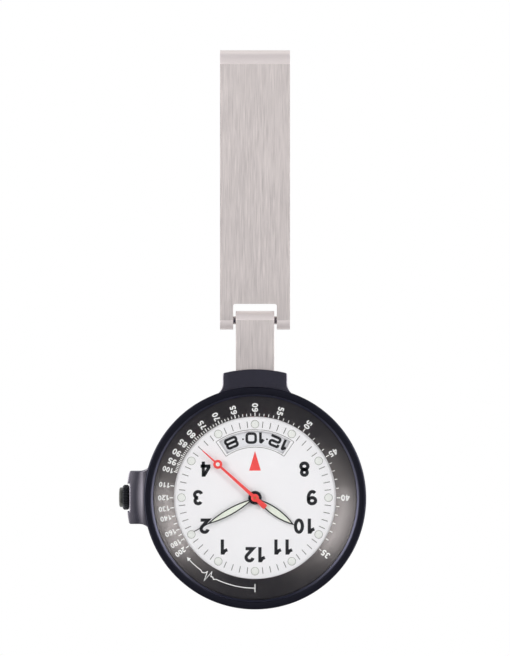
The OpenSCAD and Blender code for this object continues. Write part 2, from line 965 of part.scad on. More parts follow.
module setting_wheel() hang() color("#d4b06a")
    put(setting_p)
        post_wheel()
            toothed(setting_teeth, motion_m, z_minute, z_minute + 0.2,
                facing(setting_p, minute_p) + 180 / setting_teeth);

// A train arbor between its hole in the bridge and its hole in the main plate
module arbor() {
    disc(pivot_r, z_bridge0 + 0.1, z_plate0 + 0.2);
}

module second_wheel() hang() color("#d4b06a") {
    toothed(second_teeth, second_m, z_second, z_second + wheel_t, facing(hub_p, mid_p));
    toothed(second_pinion_teeth, third_m, z_second + wheel_t, z_third + wheel_t + 0.1, facing(hub_p, third_p));
    disc(second_arbor_r, z_bridge0 + 0.1, z_second_hand + hand_t + hub_lift);
}

module third_wheel() hang() color("#d4b06a")
    put(third_p) {
        toothed(third_teeth, third_m, z_third, z_third + wheel_t, facing(third_p, hub_p) + 180 / third_teeth);
        toothed(third_pinion_teeth, centre_m, z_third + wheel_t, z_centre + wheel_t + 0.1,
            facing(third_p, hub_p) + 180 / third_pinion_teeth);
        arbor();
    }

module intermediate_wheel() hang() color("#e0d8c0")
    put(mid_p) {
        toothed(mid_teeth, rotor_m, z_mid, z_mid + wheel_t, facing(mid_p, rotor_p));
        toothed(mid_pinion_teeth, second_m, z_second - 0.05, z_second + wheel_t + 0.1,
            facing(mid_p, hub_p) + 180 / mid_pinion_teeth);
        arbor();
    }

module rotor() hang() color("#8e8a8c")
    put(rotor_p) {
        toothed(rotor_teeth, rotor_m, z_mid - 0.05, z_mid + wheel_t + 0.05,
            facing(rotor_p, mid_p) + 180 / rotor_teeth);
        disc(rotor_r, z_stator + 0.05, z_plate0 - 0.1);
        arbor();
    }

module stator() hang() color("#a9a5a6")
    translate([0, 0, z_stator])
        linear_extrude(stator_t)
            difference() {
                union() {
                    put(rotor_p)
                        circle(1.5);
                    for (x = [core_x0 + core_w / 2, core_x1 - core_w / 2]) {
                        bar(rotor_p, [x, rotor_p[1]], core_w);
                        bar([x, rotor_p[1] - core_w / 2], [x, coil_y + core_w / 2], core_w);
                    }
                }
                put(rotor_p)
                    circle(rotor_hole_r);
            }

module coil() hang() color("#b5643c")
    difference() {
        rod_x(coil_r, coil_x0, coil_x1, coil_y, z_coil);
        translate([coil_x0 - 1, coil_y - core_w / 2, z_coil - core_t / 2])
            cube([coil_x1 - coil_x0 + 2, core_w, core_t]);
    }

module coil_core() hang() color("#a9a5a6")
    translate([core_x0, coil_y - core_w / 2, z_coil - core_t / 2])
        cube([core_x1 - core_x0, core_w, core_t]);

module circuit_board() hang() color("#2f6b45")
    translate([board_p[0], board_p[1], z_board])
        cube([board_size[0], board_size[1], board_t]);

module ic_chip() hang() color("#222226")
    translate([board_p[0] + 0.8, board_p[1] + 1.5, z_board - chip_h])
        cube([chip_size, chip_size, chip_h]);

module quartz_crystal() hang() color("#c9c6c8")
    translate([board_p[0] + board_size[0] - 0.2 - quartz_r, board_p[1] + 0.8, z_board - quartz_r])
        rotate([-90, 0, 0])
            cylinder(r = quartz_r, h = quartz_l);

module battery() hang() color("#c9c6c8")
    put(battery_p) {
        cap_h = 0.5;
        cap_in = 0.6;
        disc(battery_r, z_battery0, z_battery1 - cap_h);
        disc(battery_r - cap_in, z_battery1 - cap_h, z_battery1);
    }

module battery_insulator() hang() color("#d8b04a")
    put(battery_p)
        disc(battery_r, z_battery1, z_plate0);

module battery_clamp() hang() color("#b5b1b3")
    put(battery_p)
        rotate(facing(hub_p, battery_p) + 90) {
            reach = battery_r + 0.25 + clamp_leg;
            translate([-reach, -clamp_w / 2, z_battery0 - clamp_t])
                cube([2 * reach, clamp_w, clamp_t]);
            for (side = [-1, 1])
                translate([side * (reach - clamp_leg / 2) - clamp_leg / 2, -clamp_w / 2, z_battery0])
                    cube([clamp_leg, clamp_w, z_plate0 - z_battery0]);
        }

clip_strip();
clip_pin();
link();
spring_bar();
case_middle();
bezel();
crystal();
crystal_gasket();
pulsometer_ring();
case_back();
case_back_gasket();
crown_tube();
dial();
lume_dots();
dial_washer();
hour_hand();
hour_hand_lume();
minute_hand();
minute_hand_lume();
second_hand();
second_hand_lume();
crown();
stem();
crown_gasket();
sliding_pinion();
setting_lever();
movement_ring();
main_plate();
train_bridge();
bridge_screws();
date_disc();
date_plate();
date_jumper();
date_driving_wheel();
hour_wheel();
minute_wheel();
cannon_pinion();
centre_wheel();
setting_wheel();
second_wheel();
third_wheel();
intermediate_wheel();
rotor();
stator();
coil();
coil_core();
circuit_board();
ic_chip();
quartz_crystal();
battery();
battery_clamp();
battery_insulator();
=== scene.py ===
"""Dresses the packed nurse's fob watch: clip, link, case, dial, prints, hands, movement and light."""

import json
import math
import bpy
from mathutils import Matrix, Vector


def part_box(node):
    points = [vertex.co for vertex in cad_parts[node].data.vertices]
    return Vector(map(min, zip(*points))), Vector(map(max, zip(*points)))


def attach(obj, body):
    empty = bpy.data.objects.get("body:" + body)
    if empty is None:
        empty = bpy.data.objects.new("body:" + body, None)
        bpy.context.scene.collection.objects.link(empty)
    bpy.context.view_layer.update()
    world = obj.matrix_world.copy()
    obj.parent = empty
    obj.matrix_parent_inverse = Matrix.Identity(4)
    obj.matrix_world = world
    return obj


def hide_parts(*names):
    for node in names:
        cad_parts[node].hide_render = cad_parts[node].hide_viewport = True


bl_info = {
    "name": "Fob Watch Dressing",
    "version": (1, 0, 0),
    "blender": (4, 5, 0),
    "location": "3D View > Sidebar > Fob Watch",
    "description": "Builds the visible pieces of a nurse's fob watch around its packed solids",
    "category": "Object",
}

import bmesh
import bpy
from bmesh.types import BMEdge, BMFace, BMVert
from bpy.props import FloatProperty, FloatVectorProperty, IntProperty, PointerProperty
from bpy.types import Operator, Panel, PropertyGroup
from mathutils import Matrix, Vector

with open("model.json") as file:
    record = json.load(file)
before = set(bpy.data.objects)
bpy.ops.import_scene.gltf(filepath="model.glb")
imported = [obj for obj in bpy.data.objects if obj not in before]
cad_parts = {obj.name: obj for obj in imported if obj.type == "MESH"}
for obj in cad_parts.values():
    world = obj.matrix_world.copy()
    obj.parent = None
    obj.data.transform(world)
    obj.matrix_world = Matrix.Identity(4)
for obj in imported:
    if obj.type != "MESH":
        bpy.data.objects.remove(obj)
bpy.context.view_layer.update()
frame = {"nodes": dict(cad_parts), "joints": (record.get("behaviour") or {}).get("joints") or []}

MM = 0.001
# lengths that differ by less than this are one and the same
TINY = 1e-7
# how far a print stands off what carries it
INK = 0.012 * MM
JOINTS = {joint["name"]: joint for joint in frame["joints"]}


def linear(code):
    """Linear colour of an sRGB hex code."""
    channels = [int(code[i:i + 2], 16) / 255 for i in (0, 2, 4)]
    return tuple(c / 12.92 if c <= 0.04045 else ((c + 0.055) / 1.055) ** 2.4 for c in channels)


def length(name, default, description):
    """A length property, its default in millimetres."""
    return FloatProperty(name=name, description=description, default=default * MM, min=0,
                         precision=5, subtype="DISTANCE", unit="LENGTH")


def angle(name, default, description):
    """An angle property, its default in degrees."""
    return FloatProperty(name=name, description=description, default=math.radians(default),
                         subtype="ANGLE", unit="ROTATION")


def fraction(name, default, description):
    """A property between none and all."""
    return FloatProperty(name=name, description=description, default=default, min=0, max=1,
                         subtype="FACTOR")


def colour(name, default, description):
    """A colour property, its default an sRGB hex code."""
    return FloatVectorProperty(name=name, description=description, default=linear(default),
                               size=3, min=0, max=1, subtype="COLOR")


class FobShape(PropertyGroup):
    """Sizes of the clip, link, case and crown that the frame's boxes don't tell."""

    notch_w: length("Notch Width", 7.5, "Opening between the clip's two knuckles")
    notch_h: length("Notch Height", 2.8, "Height of that opening above the hinge pin")
    notch_corner: length("Notch Corner", 0.35, "Radius in the corners of the opening")
    leaf_l: length("Back Leaf", 30, "Length of the clip's sprung back leaf")
    leaf_close: angle("Leaf Angle", 4.97, "How far the back leaf leans towards the front one")
    lip_l: length("Lip", 3, "Length of the turned-out end of the back leaf")
    lip_turn: angle("Lip Angle", 32, "Angle of that end to the leaf")
    lip_r: length("Lip Bend", 1.2, "Radius of the bend between leaf and lip")
    roll: angle("Roll", 290, "How far the strips curl round their pins")
    strip_edge: length("Strip Edge", 0.1, "Rounding of the strips' cut edges")
    bezel_w: length("Bezel Width", 1.25, "Width of the bezel's face")
    bezel_edge: length("Bezel Edge", 0.25, "Rounding of the bezel's outer edge")
    seal_slope: length("Seal Slope", 0.14, "How far the seal falls towards the glass")
    wall: length("Case Wall", 1.3, "Thickness of the case band")
    hood_w: length("Hood Width", 11, "Width of the hood over the strap bar")
    hood_fillet: length("Hood Fillet", 2.3, "Fillet between hood and case band")
    hood_slot: length("Hood Slot", 7, "Width of the slot that the link turns in")
    apron: length("Apron", 0.8, "Thickness of the hood in front of the link")
    guard_w: length("Guard Width", 9, "Width of the crown guard")
    guard_fillet: length("Guard Fillet", 2.0, "Fillet between crown guard and case band")
    guard_cut: length("Guard Cut", 4.84, "Width of the guard's recess for the crown")
    guard_floor: length("Guard Floor", 21.5, "Distance of that recess from the dial's centre")
    lug_corner: length("Lug Corner", 0.35, "Radius of the hood's and guard's corners, seen from the front")
    lug_depth: length("Lug Depth", 5.4, "Depth of the hood and guard from front to back")
    lug_edge: length("Lug Edge", 0.12, "Rounding of the hood's and guard's front and back edges")
    lug_crown: length("Lug Hollow", 0.36, "How far the guard's front falls off beside the bezel")
    crown_l: length("Crown Wheel", 1.1, "Length of the crown's knurled wheel")
    cap_d: length("Crown Cap", 3.4, "Diameter of the crown's smooth cap")
    ridges: IntProperty(name="Crown Ridges", description="Ridges around the crown", default=28, min=8)
    ridge_h: length("Ridge Height", 0.16, "Height of the crown's ridges")
    ridge_end: length("Ridge Ends", 0.25, "How far the crown's wheel narrows at its two ends")


class FobPrint(PropertyGroup):
    """Sizes of the dial, its prints, the scale ring and the hands."""

    scale_w: length("Scale Width", 3.55, "Width of the pulse scale ring, seen from the front")
    scale_step: length("Scale Step", 0.35, "Height of the ring's upright inner edge")
    trace_r: length("Trace Circle", 15.45, "Distance of the printed pulse trace from the centre")
    mark_h: length("Scale Figures", 1.05, "Height of the pulse scale's figures")
    tick_w: length("Tick Width", 0.13, "Width of the printed ticks")
    numeral_h: length("Numerals", 2.6, "Height of the hour numerals")
    numeral_r: length("Numeral Circle", 9.77, "Distance of the hour numerals from the centre")
    date_h: length("Date Numerals", 1.94, "Height of the date numerals")
    date_r: length("Date Circle", 10.2, "Distance of the date numerals from the centre")
    dial_t: length("Dial Thickness", 0.35, "Thickness of the dial")
    window_in: length("Window Inner Radius", 8.9, "Inner radius of the date window")
    window_out: length("Window Outer Radius", 11.4, "Outer radius of the date window")
    window_half: angle("Window Half Angle", 32.5, "Half of the date window's angle")
    window_rim: length("Window Rim", 0.25, "Distance of the printed line around the window")
    dot_r: length("Dot Radius", 0.65, "Radius of the luminous dots")
    dot_at: length("Dot Circle", 12.6, "Distance of the luminous dots from the centre")
    hour_w: length("Hour Hand Width", 1.42, "Greatest width of the hour hand")
    minute_w: length("Minute Hand Width", 1.22, "Greatest width of the minute hand")
    minute_leaf: length("Minute Leaf", 9.5, "Distance of the minute hand's leaf end from the centre")
    hand_rim: length("Hand Outline", 0.2, "Width of the hands' black outline")
    hub_r: length("Hand Hub", 1.175, "Radius of the hour and minute hubs")
    second_ring: length("Seconds Ring", 0.78, "Radius of the ring on the seconds hand")
    second_ring_at: length("Seconds Ring Distance", 8.57, "Distance of that ring from the centre")
    second_hub: length("Seconds Hub", 0.68, "Radius of the seconds hand's hub")
    second_tail: length("Seconds Tail", 2.46, "Length of the seconds hand's tail")


class FobColour(PropertyGroup):
    """Colours of the watch."""

    steel: colour("Steel", "CDC5C2", "Brushed steel of clip and link")
    # painted highlight: the bends' paler steel stands in for the bright band of light that the bends catch
    roll: colour("Rolls", "EFE5E3", "Dulled steel of the strips' bends")
    case: colour("Case", "7F7B83", "Grey plating of the case, hood and guard")
    back: colour("Case Back", "B9B5B4", "Turned steel of the case back")
    bezel: colour("Bezel", "363640", "Black coating of the bezel")
    # painted reflection: the seal's violet stands in for the violet reflection in the glass's bevelled edge
    seal: colour("Seal", "5E5E6E", "Violet seal around the glass")
    scale: colour("Scale", "6A6665", "Satin grey of the pulse scale")
    dial: colour("Dial", "F1F0F2", "White lacquer of the dial")
    ink: colour("Ink", "15151A", "Black print")
    grey_ink: colour("Grey Ink", "6B6B66", "Grey print of the minute ticks")
    pale_ink: colour("Pale Ink", "93968E", "Pale grey print around the luminous dots")
    white_ink: colour("White Ink", "F4F4F2", "White print of the pulse scale")
    red: colour("Red", "F04B48", "Red of the seconds hand and the triangle")
    dot: colour("Luminous Dots", "E7E9E5", "Luminous paint of the dots")
    lume: colour("Luminous Hands", "E3E8DB", "Luminous paint in the hands")
    date: colour("Date Disc", "E4E4E8", "Pale grey of the date disc")
    crown: colour("Crown", "343539", "Black coating of the crown")
    cap: colour("Crown Cap", "666662", "Dark grey of the crown's smooth cap")
    brass: colour("Brass", "C9A45C", "Gilt brass of the movement")
    copper: colour("Copper", "B5643C", "Enamelled copper of the coil")
    board: colour("Circuit Board", "2F6B45", "Green mask of the circuit board")
    plastic: colour("Plastic", "D8D6D2", "Moulded plastic of the movement's holder")


class FobStage(PropertyGroup):
    """Camera, light and floor."""

    distance: length("Camera Distance", 900, "Distance of the camera from the dial")
    height: length("Frame Height", 112.4, "Height of the picture at the dial")
    centre: length("Frame Centre", 46.93, "Distance of the picture's centre below the clip's seat")
    drop: length("Floor Drop", 15, "Distance of the floor below the watch")
    fade_in: length("Fade Start", 50, "Distance where the floor begins to fade into the white")
    fade_out: length("Fade End", 100, "Distance where the floor has faded into the white")
    floor_white: fraction("Floor White", 0.86, "How much light the floor's board reflects")
    floor_glow: fraction("Floor Glow", 0.4, "How much the floor under the watch shows of the white")
    key: FloatProperty(name="Softbox Power", description="Power of each softbox", default=2.12, min=0,
                       unit="POWER")
    fill: fraction("Fill", 0.46, "Brightness of the surrounding room, as a share of white")
    card_far: length("Card Distance", 300, "Distance of the dark cards that the watch mirrors")
    card_w: length("Card Width", 240, "Width of the front and back cards, level with the dial")
    card_top: length("Card Top", 1100, "Height of the front card above the dial")
    card_head: length("Card Head", 720, "Width of the front card at its top")
    card_over: length("Card Above", 140, "Depth of the card above the watch")
    card_foot: length("Card Foot", 1000, "Depth of the front card below the dial, where it spreads out")
    box_w: length("Softbox Width", 200, "Width of each softbox")
    box_h: length("Softbox Height", 420, "Height of each softbox")
    box_far: length("Softbox Distance", 700, "Distance of the softboxes from the dial")
    box_side: angle("Softbox Side", 45, "How far the softboxes stand to the sides of the camera")
    box_rise: angle("Softbox Rise", 10, "How far the softboxes stand above the dial")


# the watch's materials by the names that its pieces use, made in the first step
LOOKS = {}
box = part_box
DIAL_LOW, DIAL_HIGH = box("dial")
# middle of the dial's face
CENTRE = Vector((0, DIAL_LOW.y, (DIAL_LOW.z + DIAL_HIGH.z) / 2))
# x to the right, y up and z to the front, from that middle; the dial's own frame is turned half round
WATCH = Matrix.Translation(CENTRE) @ Matrix.Rotation(math.pi / 2, 4, "X")
DIAL = WATCH @ Matrix.Rotation(math.pi, 4, "Z")
# where the hands point at rest, in degrees clockwise from twelve
TIMES = {"hour": 305, "minute": 61, "seconds": 132}


def radius(node):
    """Half the width of a CAD node."""
    low, high = box(node)
    return (high.x - low.x) / 2


def level(node):
    """Back and front of a CAD node, counted from the dial's face."""
    low, high = box(node)
    return CENTRE.y - high.y, CENTRE.y - low.y


def turned(degrees):
    """Matrix that turns clockwise from twelve, in the dial's own frame."""
    return Matrix.Rotation(-math.radians(degrees), 4, "Z")


def at(distance, degrees):
    """Point on the dial, clockwise from twelve."""
    a = math.radians(degrees)
    return Vector((distance * math.sin(a), distance * math.cos(a), 0))


def arc(centre, r, start, end, steps):
    """Points on an arc, angles in degrees."""
    angles = [math.radians(start + (end - start) * i / steps) for i in range(steps + 1)]
    return [(centre[0] + r * math.cos(a), centre[1] + r * math.sin(a)) for a in angles]


def sheet(bm, points, z=0.0, index=0):
    """One flat face through the points."""
    face = bm.faces.new([bm.verts.new((p[0], p[1], z)) for p in points])
    face.material_index = index
    face.normal_update()
    return face


def mirrored(points):
    """Both halves of an outline, from its right half."""
    return points + [(-x, y) for x, y in points[::-1] if x > TINY]


def only(made, kind):
    """The vertices, edges or faces among what an operator made."""
    return [item for item in made if isinstance(item, kind)]


def extrude(bm, faces, depth):
    """Gives flat faces a depth along z."""
    made = bmesh.ops.extrude_face_region(bm, geom=faces)["geom"]
    bmesh.ops.translate(bm, verts=only(made, BMVert), vec=(0, 0, depth))


def prism(points, low, high):
    """A solid of that outline between two levels."""
    bm = bmesh.new()
    extrude(bm, [sheet(bm, points, low)], high - low)
    return bm


def slice_at(bm, spot, normal):
    """Cuts all faces along a plane, and keeps both sides."""
    bmesh.ops.bisect_plane(bm, geom=bm.verts[:] + bm.edges[:] + bm.faces[:], plane_co=spot, plane_no=normal)


def lathe(profile, steps=180, closed=True):
    """A solid of a profile of radius and level, spun round the axis."""
    bm = bmesh.new()
    verts = [bm.verts.new((r, 0, z)) for r, z in profile]
    pairs = list(zip(verts, verts[1:])) + ([(verts[-1], verts[0])] if closed else [])
    edges = [bm.edges.new(pair) for pair in pairs]
    bmesh.ops.spin(bm, geom=verts + edges, cent=(0, 0, 0), axis=(0, 0, 1), angle=2 * math.pi,
                   steps=steps, use_merge=True)
    bmesh.ops.remove_doubles(bm, verts=bm.verts, dist=TINY)
    return bm


def soften(bm, width, segments, limit, keep=lambda edge: True):
    """Rounds the edges that are sharper than the limit in degrees."""
    sharp = math.radians(limit)
    edges = [e for e in bm.edges if e.is_manifold and e.calc_face_angle(0) > sharp and keep(e)]
    bmesh.ops.bevel(bm, geom=edges, offset=width, offset_type="OFFSET", segments=segments, profile=0.5,
                    affect="EDGES", clamp_overlap=True, material=-1)


def paint(bm, index):
    """Puts all faces in one of the piece's materials."""
    for face in bm.faces:
        face.material_index = index


def meshed(name, bm):
    """A mesh of a bmesh, which is used up."""
    mesh = bpy.data.meshes.new(name)
    bm.to_mesh(mesh)
    bm.free()
    return mesh


def join(bm, other, matrix=Matrix()):
    """Adds one bmesh to another, moved by the matrix."""
    other.transform(matrix)
    mesh = meshed("part", other)
    bm.from_mesh(mesh)
    bpy.data.meshes.remove(mesh)


def outward(bm):
    """Turns every closed shell's faces outwards."""
    bmesh.ops.recalc_face_normals(bm, faces=bm.faces)
    left = set(bm.faces)
    while left:
        shell, border = set(), [left.pop()]
        while border:
            face = border.pop()
            shell.add(face)
            near = {f for e in face.edges for f in e.link_faces} & left
            left -= near
            border += near
        centre = next(iter(shell)).verts[0].co
        volume = sum((f.calc_center_median() - centre).dot(f.normal) * f.calc_area() for f in shell)
        if volume < 0:
            bmesh.ops.reverse_faces(bm, faces=list(shell))


def piece(name, bm, body, looks, nodes=(), matrix=WATCH):
    """Makes an object of a bmesh, puts it in place and hangs it on its body."""
    bm.transform(matrix)
    if nodes:
        outward(bm)
    else:
        # a print replaces no node, is flat and faces the front
        bm.normal_update()
        bmesh.ops.reverse_faces(bm, faces=[f for f in bm.faces if f.normal.y > 0])
    mesh = meshed(name, bm)
    mesh.shade_smooth()
    mesh.set_sharp_from_angle(angle=math.radians(30))
    for look in looks:
        mesh.materials.append(LOOKS[look])
    obj = bpy.data.objects.new(name, mesh)
    bpy.context.scene.collection.objects.link(obj)
    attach(obj, body)
    if nodes:
        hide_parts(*nodes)
    return obj


def thicken(obj, thickness, edge):
    """Gives a strip its sheet thickness and rounds the cut edges."""
    solid = obj.modifiers.new("Sheet", "SOLIDIFY")
    solid.thickness = thickness
    solid.offset = 0
    solid.use_even_offset = True
    rounding = obj.modifiers.new("Cut Edge", "BEVEL")
    rounding.width = edge
    rounding.segments = 3
    rounding.harden_normals = True
    rounding.limit_method = "ANGLE"
    rounding.angle_limit = math.radians(50)


def add(tree, kind, inputs, **settings):
    """Adds a node, and sets or links its inputs."""
    node = tree.nodes.new(kind)
    for key, value in settings.items():
        setattr(node, key, value)
    for key, value in inputs.items():
        if isinstance(value, bpy.types.NodeSocket):
            tree.links.new(value, node.inputs[key])
        else:
            node.inputs[key].default_value = value
    return node


def finish(name, base, metal=0.0, **sockets):
    """A new material and its shader, with the constant values on the shader's own sockets."""
    material = bpy.data.materials.new(name)
    material.use_nodes = True
    shader = material.node_tree.nodes["Principled BSDF"]
    shader.inputs["Base Color"].default_value = (*base, 1)
    shader.inputs["Metallic"].default_value = metal
    for key, value in sockets.items():
        shader.inputs[key.replace("_", " ").title().replace("Ior", "IOR")].default_value = value
    return material, material.node_tree, shader


def wear(tree, shader, value, base, spread, rough, depth, across=None):
    """Lets one pattern vary the colour, the roughness and the surface of a shader, and lets a brushed
    finish spread the light across its lines."""
    # nearly all of a noise lies between these two values
    low, high = 0.3, 0.7
    ramp = add(tree, "ShaderNodeValToRGB", {"Fac": value})
    for element, place, gain in zip(ramp.color_ramp.elements, (low, high), (1 - spread, 1 + spread)):
        element.position = place
        element.color = (*(min(1, c * gain) for c in base), 1)
    tree.links.new(ramp.outputs["Color"], shader.inputs["Base Color"])
    dulling = add(tree, "ShaderNodeMapRange", {"Value": value, "From Min": low, "From Max": high,
                                               "To Min": rough[0], "To Max": rough[1]})
    tree.links.new(dulling.outputs["Result"], shader.inputs["Roughness"])
    bump = add(tree, "ShaderNodeBump", {"Height": value, "Strength": 0.5, "Distance": depth})
    tree.links.new(bump.outputs["Normal"], shader.inputs["Normal"])
    if across:
        way = add(tree, "ShaderNodeVectorTransform", {"Vector": across},
                  convert_from="OBJECT", convert_to="WORLD")
        tree.links.new(way.outputs["Vector"], shader.inputs["Tangent"])


def grained(name, base, grain, rough, metal=0.0, spread=0.03, depth=2e-6, across=None, **sockets):
    """A finish with a fine grain; grain is its size, or its size along each axis, in millimetres."""
    material, tree, shader = finish(name, base, metal, **sockets)
    place = add(tree, "ShaderNodeTexCoord", {}).outputs["Object"]
    sizes = grain if isinstance(grain, tuple) else (grain,) * 3
    mapped = add(tree, "ShaderNodeMapping", {"Vector": place, "Scale": [1 / (size * MM) for size in sizes]})
    noise = add(tree, "ShaderNodeTexNoise", {"Vector": mapped.outputs["Vector"], "Scale": 1.0, "Detail": 3.0,
                                             "Roughness": 0.6})
    wear(tree, shader, noise.outputs["Fac"], base, spread, rough, depth, across)
    return material


def ringed(name, base, pitch, rough, metal=0.0, spread=0.03, depth=1e-6, **sockets):
    """A finish turned in circles round the dial's axis; pitch is the width of a line, in millimetres."""
    material, tree, shader = finish(name, base, metal, **sockets)
    place = add(tree, "ShaderNodeTexCoord", {}).outputs["Object"]
    spoke = add(tree, "ShaderNodeMapping", {"Vector": place, "Location": (0, 0, -CENTRE.z),
                                            "Scale": (1, 0, 1)}).outputs["Vector"]
    far = add(tree, "ShaderNodeVectorMath", {0: spoke}, operation="LENGTH").outputs["Value"]
    noise = add(tree, "ShaderNodeTexNoise", {"W": far, "Scale": 1 / (pitch * MM), "Detail": 2.0},
                noise_dimensions="1D")
    wear(tree, shader, noise.outputs["Fac"], base, spread, rough, depth, spoke)
    return material


def palette(c):
    """Every material of the watch, by the name that its pieces use."""
    made = {
        # stainless strip, brushed along its length: upright lines that spread the light to the sides; real
        # lines are about 0.03 mm wide, and these are drawn three times as coarse so that they show
        "strip": grained("steel_strip_brushed", c.steel, (0.09, 4, 4), (0.46, 0.6), 1.0, 0.15, 2.2e-5,
                         (1, 0, 0), anisotropic=0.45),
        # the same strip on its bends, as a paler and less metallic copy of the strip's steel: a painted
        # highlight for the bright band of light that the bends catch; plain, pale and soft
        "roll": grained("steel_strip_painted_highlight", c.roll, 0.2, (0.36, 0.44), 0.35, 0.02, 1e-6),
        # steel pins and small parts, ground: bright, with lines drawn coarser than real so that they show
        "steel": grained("steel_ground", c.steel, (0.6, 0.06, 0.6), (0.22, 0.36), 1.0, 0.04),
        # brass case under grey plating, polished: soft but clear reflections
        "case": grained("case_plating_grey", c.case, 0.05, (0.26, 0.32), 1.0, 0.02, 5e-7),
        # steel bezel under a black coating, turned and satin: nearly black, with a dull sheen at its edge
        "bezel": ringed("bezel_coating_black", c.bezel, 0.08, (0.34, 0.46), 1.0, 0.05, 1e-6,
                        specular_tint=(0.2, 0.2, 0.24, 1)),
        # sealing ring round the glass, turned, in a violet metal finish that stands in for the violet
        # reflection in the glass's bevelled edge: a painted reflection, a thin violet line that lights up
        # where it faces the lamps
        "seal": ringed("seal_ring_painted_violet_reflection", c.seal, 0.05, (0.42, 0.5), 1.0, 0.03, 3e-7, anisotropic=0.8),
        # moulded rubber of the hidden gaskets: black and dull
        "rubber": grained("gasket_rubber_black", c.bezel, 0.08, (0.6, 0.75)),
        # anodised aluminium, turned: dark, with pale fans of light to its sides; real lines are about 0.02 mm
        # wide, and these are drawn coarser so that they show
        "scale": ringed("scale_anodised_satin", c.scale, 0.05, (0.3, 0.36), 1.0, 0.04, 3e-7,
                        anisotropic=0.85),
        # brass dial under sprayed lacquer: an even white, very slightly rough
        "dial": grained("dial_lacquer_white", c.dial, 0.12, (0.38, 0.5), 0.0, 0.008, 1e-6),
        # luminous paint, laid on thick: pale, dull and a little granular
        "dot": grained("luminous_paint_pale", c.dot, 0.06, (0.55, 0.75), 0.0, 0.05, 6e-6),
        "lume": grained("luminous_paint_green", c.lume, 0.06, (0.55, 0.75), 0.0, 0.05, 6e-6),
        # lacquered brass hands: smooth, with a clear shine
        "hand": grained("hand_lacquer_black", c.ink, 0.08, (0.2, 0.3), 0.0, 0.1, 1e-6),
        "hand_red": grained("hand_lacquer_red", c.red, 0.08, (0.28, 0.38), 0.0, 0.03, 1e-6),
        # painted date disc: pale grey and matt
        "date": grained("date_disc_matt", c.date, 0.1, (0.55, 0.65), 0.0, 0.015, 1e-6),
        # steel crown, its cap polished dark grey and its knurled wheel coated black: a soft shine
        "cap": grained("crown_cap_grey", c.cap, 0.05, (0.26, 0.36), 0.6, 0.04, 1e-6),
        "crown": grained("crown_coating_black", c.crown, 0.06, (0.28, 0.4), 0.6, 0.1, 1e-6),
        # steel case back, turned: grey, in fine circles, coarser than real so that they show
        "back": ringed("case_back_turned", c.back, 0.09, (0.24, 0.38), 1.0, 0.05, 2e-6),
        # brass of the movement, gilt and frosted: yellow with a soft sheen
        "brass": grained("brass_gilt_frosted", c.brass, 0.05, (0.3, 0.45), 1.0, 0.05, 2e-6),
        # moulded plastic: pale with a slight gloss
        "plastic": grained("plastic_moulded", c.plastic, 0.2, (0.4, 0.55)),
        # enamelled copper wire, wound: brown, in turns side by side, drawn twice as coarse so that they show
        "copper": grained("copper_wire_enamel", c.copper, (0.08, 1, 1), (0.25, 0.4), 0.9, 0.2, 2e-5),
        # glass fibre board under solder mask: green and slightly uneven
        "board": grained("board_solder_mask", c.board, 0.3, (0.3, 0.45), 0.0, 0.1),
        # moulded resin of the chip: black and dull
        "chip": grained("chip_resin_black", c.ink, 0.07, (0.5, 0.65), 0.0, 0.15),
        # polyimide film: amber with a gloss
        "film": grained("insulating_film", c.brass, 0.3, (0.2, 0.35), 0.0, 0.05),
        # mineral glass, flat and polished: clear, with faint reflections
        "glass": finish("glass_mineral_clear", (1, 1, 1), 0.0, roughness=0.02, ior=1.5, alpha=0.1,
                        transmission_weight=1.0)[0],
    }
    # pad printed inks: thin, dull and a little uneven
    inks = {"ink": ("black", c.ink, 0.15), "grey_ink": ("grey", c.grey_ink, 0.08),
            "pale_ink": ("pale_grey", c.pale_ink, 0.05), "white_ink": ("white", c.white_ink, 0.02),
            "red_ink": ("red", c.red, 0.04)}
    for look, (shade, base, spread) in inks.items():
        made[look] = grained("ink_" + shade, base, 0.05, (0.45, 0.6), 0.0, spread, 1e-6)
    return made


# finishes of the solids that stay in sight
NODE_FINISH = {
    "steel": ("clip_pin", "spring_bar", "crown_tube", "stem", "setting_lever", "bridge_screws", "date_plate",
              "date_jumper", "cannon_pinion", "rotor", "stator", "coil_core", "battery_clamp",
              "quartz_crystal", "battery"),
    "rubber": ("case_back_gasket", "crown_gasket"),
    "brass": ("dial_washer", "sliding_pinion", "main_plate", "train_bridge", "hour_wheel", "minute_wheel",
              "centre_wheel", "setting_wheel", "second_wheel", "third_wheel"),
    "plastic": ("movement_ring", "date_driving_wheel", "intermediate_wheel"),
    "copper": ("coil",),
    "board": ("circuit_board",),
    "chip": ("ic_chip",),
    "film": ("battery_insulator",),
    "date": ("date_disc",),
}


class FOB_OT_finish(Operator):
    """Make the watch's materials and put them on the solids that stay in sight"""

    bl_idname = "fob.finish"
    bl_label = "Make Finishes"

    def execute(self, context):
        LOOKS.update(palette(context.scene.fob_colour))
        for look, nodes in NODE_FINISH.items():
            for name in nodes:
                for place in frame["nodes"][name].material_slots:
                    place.material = LOOKS[look]
        return {"FINISHED"}


def row(bm, columns, y, z):
    """Edges across a strip."""
    verts = [bm.verts.new((x, y, z)) for x in columns]
    return [bm.edges.new(pair) for pair in zip(verts, verts[1:])]


def ends(edges):
    """The vertices of some edges."""
    return list({v for e in edges for v in e.verts})


def in_order(edges):
    """Edges across a strip, from left to right."""
    return sorted(edges, key=lambda e: e.verts[0].co.x + e.verts[1].co.x)


def pull(bm, edges, step):
    """Draws a strip on along a straight step, in its first material; returns its new end."""
    made = bmesh.ops.extrude_edge_only(bm, edges=edges)["geom"]
    verts = only(made, BMVert)
    bmesh.ops.translate(bm, verts=verts, vec=step)
    for face in only(made, BMFace):
        face.material_index = 0
    return in_order(e for e in only(made, BMEdge) if set(e.verts) <= set(verts))


